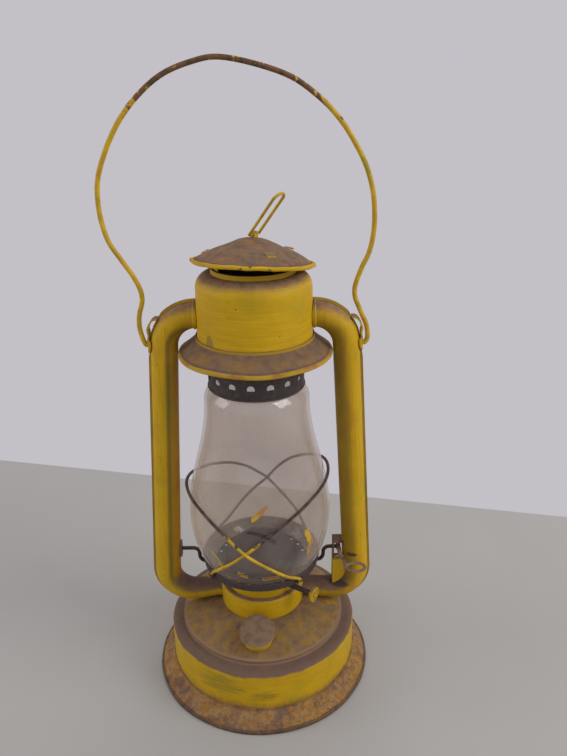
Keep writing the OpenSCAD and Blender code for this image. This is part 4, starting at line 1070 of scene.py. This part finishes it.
def build_chimney():
    dress("perforated_ring", "ring_steel")
    dress("chimney_tube", "ring_steel")
    turned_piece("hood", "chimney", "hood_paint", 40, 180, 1.8, 0.7, hood_axis(), worn_hood)
    dress("hood_tabs", "dusty_paint")
    dress("loop_staple", "dusty_paint")
    ends = join(tab_end(-66, 26, 0.4, 7.5, 5), tab_end(176, 30, 0.2, 4.5, 4), tab_end(38, 27, 2.4))
    make_piece("hood_tab_ends", *ends, "chimney", "hood", "dusty_paint", False)


def build_loop():
    s = sizes()
    r = s.loop_wire / MM / 2
    half = 11 / 2 - r
    tall = 36 - r - half
    side = [(half - 1.2, 0, 0), (half - 0.35, 0, 0.35), (half, 0, 1.2), (half, 0, tall * 0.5)]
    arc = [(half * math.cos(math.radians(a)), 0, tall + half * math.sin(math.radians(a))) for a in range(0, 181, 12)]
    path = spline(side + arc + [(-x, y, z) for x, y, z in side[::-1]], 3)
    shape = join(wire(path, r, 18), bar((-half + 1.15, 0, 0), (half - 1.15, 0, 0), r, 18, 0.02))
    turn = Matrix.Rotation(math.radians(50), 4, "Z") @ Matrix.Rotation(math.radians(41), 4, "X")
    m = np.array(Matrix.Translation(Vector(joint_of("loop_swing"))) @ turn, float)
    points = shape[0] @ m[:3, :3].T + m[:3, 3]
    make_piece("lift_loop_wire", points, shape[1], "lift_loop", "lift_loop", "loop_wire", True, 60)


# Globe and guard

BELLY_H, NECK_H, LIP_H = 44.0, 133.3, 14.0
FOOT_R, BELLY_R, NECK_R, LIP_R = 36.0, 51.2, 36.3, 31.2


def globe_r(h):
    """Outer radius of the globe at height h above its foot."""
    if h <= BELLY_H:
        return FOOT_R + (BELLY_R - FOOT_R) * max(0.0, math.sin(math.pi / 2 * max(h, 0) / BELLY_H)) ** 0.7
    if h <= NECK_H:
        return NECK_R + (BELLY_R - NECK_R) * (0.5 + 0.5 * math.cos(math.pi * (h - BELLY_H) / (NECK_H - BELLY_H)))
    return NECK_R - (NECK_R - LIP_R) * min(1.0, (h - NECK_H) / (LIP_H - 3.8)) ** 2


def build_globe():
    foot = foot_of("globe")
    t = sizes().glass / MM
    heights = [0.0, 0.4, 1.0, 1.8, 2.8, 4.0, 5.5, 7.2, 9.2, 11.6, 14.4, 17.8, 21.6, 26.0, 30.6, 35.2, 39.6]
    heights += list(np.linspace(BELLY_H, NECK_H, 34)) + list(np.linspace(NECK_H, NECK_H + LIP_H, 12)[1:])
    out = [(globe_r(h), foot + h) for h in heights]
    inside = [(globe_r(h) - t, foot + h) for h in heights[::-1]]
    line = soften(np.array(out + inside), True, 0.8, 40)
    points, faces = lathe(line, True, 120)
    faces = outward(points, faces)
    make_piece("globe_glass", points, faces, "globe_carriage", "globe", "glass", True, 70)


# Courses of the guard wires: angle round the globe in degrees, height above the globe's foot and
# distance off the glass in millimetres.
LEFT_COURSE = [(46, 11, 0), (52, 14.6, 0), (59, 18.6, 0), (66, 23, 0), (73, 27.6, 0.2), (80, 32.6, 1.35),
               (86.5, 37.5, 2.7), (93, 42.6, 1.35), (100, 48, 0.2), (109, 52.6, 0), (120, 56.6, 0.2), (134, 60, 0.6),
               (150, 63.4, 1.2), (166, 66.6, 1.9), (181, 68.3, 2.2), (194, 68, 1.8), (207, 66.2, 1), (220, 63.4, 0.3),
               (232, 59, 0), (243, 53.6, 0.2), (253, 47.4, 1.35), (262.3, 41, 2.7), (271, 33.4, 1.35),
               (280, 25.8, 0.2), (289, 18.6, 0), (297, 12.6, 0), (304, 8.8, 0.2)]
RIGHT_COURSE = [(-137, 10.5, 0), (-129, 16.2, 0), (-120, 23.2, 0), (-111, 30.2, 0), (-104, 36.2, 0),
                (-97.7, 41.4, 0), (-90, 47.9, 0), (-82, 54, 0), (-74, 59, 0), (-65, 63.6, 0), (-55, 67.6, 0),
                (-44, 71, 0), (-32, 73.6, 0.3), (-19, 75.6, 0.9), (-6, 77, 1.4), (8, 77.6, 1.5), (21, 76, 1),
                (34, 72.2, 0.4), (46, 68, 0), (57, 63, 0), (67, 57, 0), (77, 48, 0), (86.5, 37.6, 0), (95, 31.4, 0),
                (104, 25, 0), (113, 18.8, 0), (122, 13.4, 0), (131, 10, 0)]


def guard_path(course, ends):
    """A guard wire round the globe, from one clip to the other."""
    foot, off = foot_of("globe"), sizes().guard_wire / MM / 2 + 0.3
    clip_r, rim = 43.4 + sizes().guard_wire / MM / 2 + 0.5, foot + 2.9

    def at(angle, reach, z):
        a = math.radians(angle)
        return reach * math.cos(a), reach * math.sin(a), z

    first = [at(ends[0], clip_r, rim + z) for z in (0, 3.4)]
    body = [at(a, globe_r(h) + off + out, foot + h) for a, h, out in spline(course, 3)]
    last = [at(ends[1], clip_r, rim + z) for z in (3.4, 0)]
    return spline(first + body + last, 2)


def build_guard():
    wires = {"left": (LEFT_COURSE, (42, 309)), "right": (RIGHT_COURSE, (-141.5, 141.5))}
    for side, course in wires.items():
        points, faces = wire(guard_path(*course), sizes().guard_wire / MM / 2, 16)
        make_piece("guard_wire_%s_round" % side, points, faces, "globe_carriage", "guard_wire_" + side, "guard_wire",
                   True, 60)
    dress("guard_clips", "clip_wire")
    dress("globe_plate", "plate_steel")
    dress("burner_cone", "plate_steel")


# Globe lift


def build_lift():
    r = sizes().crank_wire / MM / 2
    axis = joint_of("crank_turn")[2]
    bracket_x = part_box("crank_bracket")[0].x / MM
    arm_x, hoop_r, hoop_z = 47.0, 28.5, foot_of("globe_plate") - r - 0.4
    half = [(arm_x + 4.5, 0, axis), (arm_x + 2, 0, axis - 0.6), (arm_x, 0, axis - 3), (arm_x - 0.5, 0, axis - 8),
            (arm_x - 2.6, 0, hoop_z + 0.7), (arm_x - 6, 0, hoop_z), (hoop_r + 6, 0, hoop_z)]
    right = spline(half, 6)
    arc = [(hoop_r * math.cos(a), hoop_r * math.sin(a), hoop_z) for a in np.radians(range(12, 169, 6))]
    path = np.vstack([right, arc, right[::-1] * [-1, 1, 1]])
    left_end = -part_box("lift_crank")[0].x / MM
    shape = join(wire(path, r, 16), bar((-left_end, 0, axis), (-arm_x - 4.4, 0, axis), r, 16),
                 bar((arm_x + 4.4, 0, axis), (bracket_x + 5.2, 0, axis), r, 16))
    make_piece("lift_crank_wire", *shape, "lift_crank", "lift_crank", "wire_steel", True, 60)
    dress("lift_lever", "lever_rust")
    dress("crank_bracket", "bracket_paint")
    dress("bracket_eyelet", "brass")


# Bail. Its points are given in X and Z, from the pin of each side and from the pivot's height.

BAIL_RIGHT = [(0, 0), (1.5, 0.7), (2.6, 3), (2.8, 6), (2.3, 10), (1.3, 14), (-1, 19), (-3.6, 25), (-6, 31),
              (-6.5, 37), (-4.8, 44), (-1.8, 52), (1.8, 60), (4, 70), (4.6, 82), (3.2, 97), (-1, 111.5),
              (-7.6, 124.5), (-17.1, 138.5), (-30.6, 152), (-50.6, 164.5)]
BAIL_LEFT = [(59.2, 173.2), (39.2, 171.2), (17.2, 161.8), (-4.3, 141), (-19.3, 113), (-22.6, 92), (-19.6, 71.5),
             (-12.3, 58), (-5.8, 47.5), (-2, 39), (-0.9, 33), (-1.6, 28), (-3.4, 22.5), (-4.3, 16.5), (-4.2, 11),
             (-3, 5), (-1.6, 1), (0, 0)]


def build_bail():
    r = sizes().bail_wire / MM / 2
    pivot = joint_of("bail_swing")[2]
    top, foot = leg_axis()
    leg_x = top[0] + (foot[0] - top[0]) * (top[1] - pivot) / (top[1] - foot[1])
    pin = leg_x + sizes().tube_r / MM + EAR_SEAM + SLIP + EAR_T + 0.3
    route = [(pin + x, 0, pivot + z) for x, z in BAIL_RIGHT] + [(x - pin, 0, pivot + z) for x, z in BAIL_LEFT]
    path = spline(route, 6)
    tip = pin - 0.3 - 3.25
    shape = join(wire(path, r, 20, False, True), bar((tip, 0, pivot), (pin + 0.05, 0, pivot), r, 20),
                 bar((-pin - 0.05, 0, pivot), (-tip, 0, pivot), r, 20))
    make_piece("bail_wire_round", *shape, "bail", "bail", "bail_wire", True, 60)


# Stage


def build_stage():
    scene = bpy.context.scene
    scene.view_settings.view_transform = "Standard"
    f = Finish("stage_floor")
    tint = f.mix(f.patches(90, 0.3, 0.7, 2.0) * 0.3, (0.40, 0.39, 0.365), (0.43, 0.42, 0.395))
    corners = [(-2.5, -2.5), (2.5, -2.5), (2.5, 0.153), (0.45, 0.153), (-0.45, 0.346), (-2.5, 0.346)]
    mesh = bpy.data.meshes.new("stage_floor")
    points = [(x, y, z) for z in (0.0, -0.02) for x, y in corners]
    sides = [(k, k + 6, (k + 1) % 6 + 6, (k + 1) % 6) for k in range(6)]
    mesh.from_pydata(points, [], [tuple(range(6)), tuple(range(11, 5, -1)), *sides])
    mesh.materials.append(f.done(f.shader(tint, 0.75)))
    floor = bpy.data.objects.new("stage_floor", mesh)
    scene.collection.objects.link(floor)
    world = bpy.data.worlds.new("studio")
    world.use_nodes = True
    world.node_tree.nodes["Background"].inputs["Color"].default_value = (0.73, 0.705, 0.76, 1)
    world.node_tree.nodes["Background"].inputs["Strength"].default_value = 0.75
    scene.world = world
    lamps = (("key", (1.1, -0.45, 1.1), 9.5, 0.8), ("left", (-1.4, -0.1, 0.8), 5, 0.8), ("back", (0.2, 1.2, 1.2), 3, 1.0))
    for name, place, power, size in lamps:
        lamp = bpy.data.lights.new(name, "AREA")
        lamp.energy = power
        lamp.size = size
        holder = bpy.data.objects.new(name, lamp)
        holder.location = place
        holder.rotation_euler = (Vector((0, 0, 0.18)) - Vector(place)).to_track_quat("-Z", "Y").to_euler()
        scene.collection.objects.link(holder)


CAMERA_PLACE = (0.0184, -0.4319, 0.414)
CAMERA_PITCH = 67.73
CAMERA_ROLL = -0.73
CAMERA_LENS = 32.71


def build_camera():
    lens = bpy.data.cameras.new("camera")
    lens.lens = CAMERA_LENS
    lens.sensor_width = 36
    lens.clip_start = 0.01
    camera = bpy.data.objects.new("camera", lens)
    bpy.context.scene.collection.objects.link(camera)
    camera.matrix_world = (Matrix.Translation(CAMERA_PLACE) @ Matrix.Rotation(math.radians(CAMERA_PITCH), 4, "X")
                           @ Matrix.Rotation(math.radians(CAMERA_ROLL), 4, "Z"))
    bpy.context.scene.camera = camera


# Operators


class LanternStage(bpy.types.Operator):
    """Makes the floor, the light and the camera."""

    bl_idname = "lantern.stage"
    bl_label = "Stage"

    def execute(self, context):
        build_camera()
        build_stage()
        return {"FINISHED"}


class LanternTank(bpy.types.Operator):
    """Makes the base and the tank, and finishes the filler."""

    bl_idname = "lantern.tank"
    bl_label = "Tank"

    def execute(self, context):
        build_tank()
        return {"FINISHED"}


class LanternBurner(bpy.types.Operator):
    """Makes the air cup and finishes the burner."""

    bl_idname = "lantern.burner"
    bl_label = "Burner"

    def execute(self, context):
        build_burner()
        return {"FINISHED"}


class LanternTubes(bpy.types.Operator):
    """Makes the side tubes with their seams."""

    bl_idname = "lantern.tubes"
    bl_label = "Side tubes"

    def execute(self, context):
        build_tubes()
        return {"FINISHED"}


class LanternCanopy(bpy.types.Operator):
    """Makes the canopy and its brim."""

    bl_idname = "lantern.canopy"
    bl_label = "Canopy"

    def execute(self, context):
        build_canopy()
        return {"FINISHED"}


class LanternChimney(bpy.types.Operator):
    """Makes the hood, its tabs and the lift loop."""

    bl_idname = "lantern.chimney"
    bl_label = "Chimney and hood"

    def execute(self, context):
        build_chimney()
        build_loop()
        return {"FINISHED"}


class LanternGlobe(bpy.types.Operator):
    """Makes the glass globe and its guard wires."""

    bl_idname = "lantern.globe"
    bl_label = "Globe and guard"

    def execute(self, context):
        build_globe()
        build_guard()
        return {"FINISHED"}


class LanternLift(bpy.types.Operator):
    """Makes the crank wire and finishes the lever and its bracket."""

    bl_idname = "lantern.lift"
    bl_label = "Globe lift"

    def execute(self, context):
        build_lift()
        return {"FINISHED"}


class LanternBail(bpy.types.Operator):
    """Makes the wire bail."""

    bl_idname = "lantern.bail"
    bl_label = "Bail"

    def execute(self, context):
        build_bail()
        return {"FINISHED"}


OPERATORS = (LanternStage, LanternTank, LanternBurner, LanternTubes, LanternCanopy, LanternChimney, LanternGlobe,
             LanternLift, LanternBail)


class LanternPanel(bpy.types.Panel):
    """Lists the lantern's parts in the sidebar."""

    bl_idname = "VIEW3D_PT_lantern"
    bl_label = "Oil lantern"
    bl_space_type = "VIEW_3D"
    bl_region_type = "UI"
    bl_category = "Lantern"

    def draw(self, context):
        for operator in OPERATORS:
            self.layout.operator(operator.bl_idname)
        for group in (context.scene.lantern_sizes, context.scene.lantern_finish):
            for name in group.bl_rna.properties.keys():
                if name not in ("rna_type", "name"):
                    self.layout.prop(group, name)


CLASSES = (LanternSizes, LanternFinish, *OPERATORS, LanternPanel)


def register():
    for cls in CLASSES:
        bpy.utils.register_class(cls)
    bpy.types.Scene.lantern_sizes = bpy.props.PointerProperty(type=LanternSizes)
    bpy.types.Scene.lantern_finish = bpy.props.PointerProperty(type=LanternFinish)


def unregister():
    del bpy.types.Scene.lantern_finish
    del bpy.types.Scene.lantern_sizes
    for cls in reversed(CLASSES):
        bpy.utils.unregister_class(cls)


def main():
    register()
    for operator in OPERATORS:
        part = operator.bl_idname.split(".")[1]
        getattr(bpy.ops.lantern, part)()


if __name__ == "__main__":
    main()
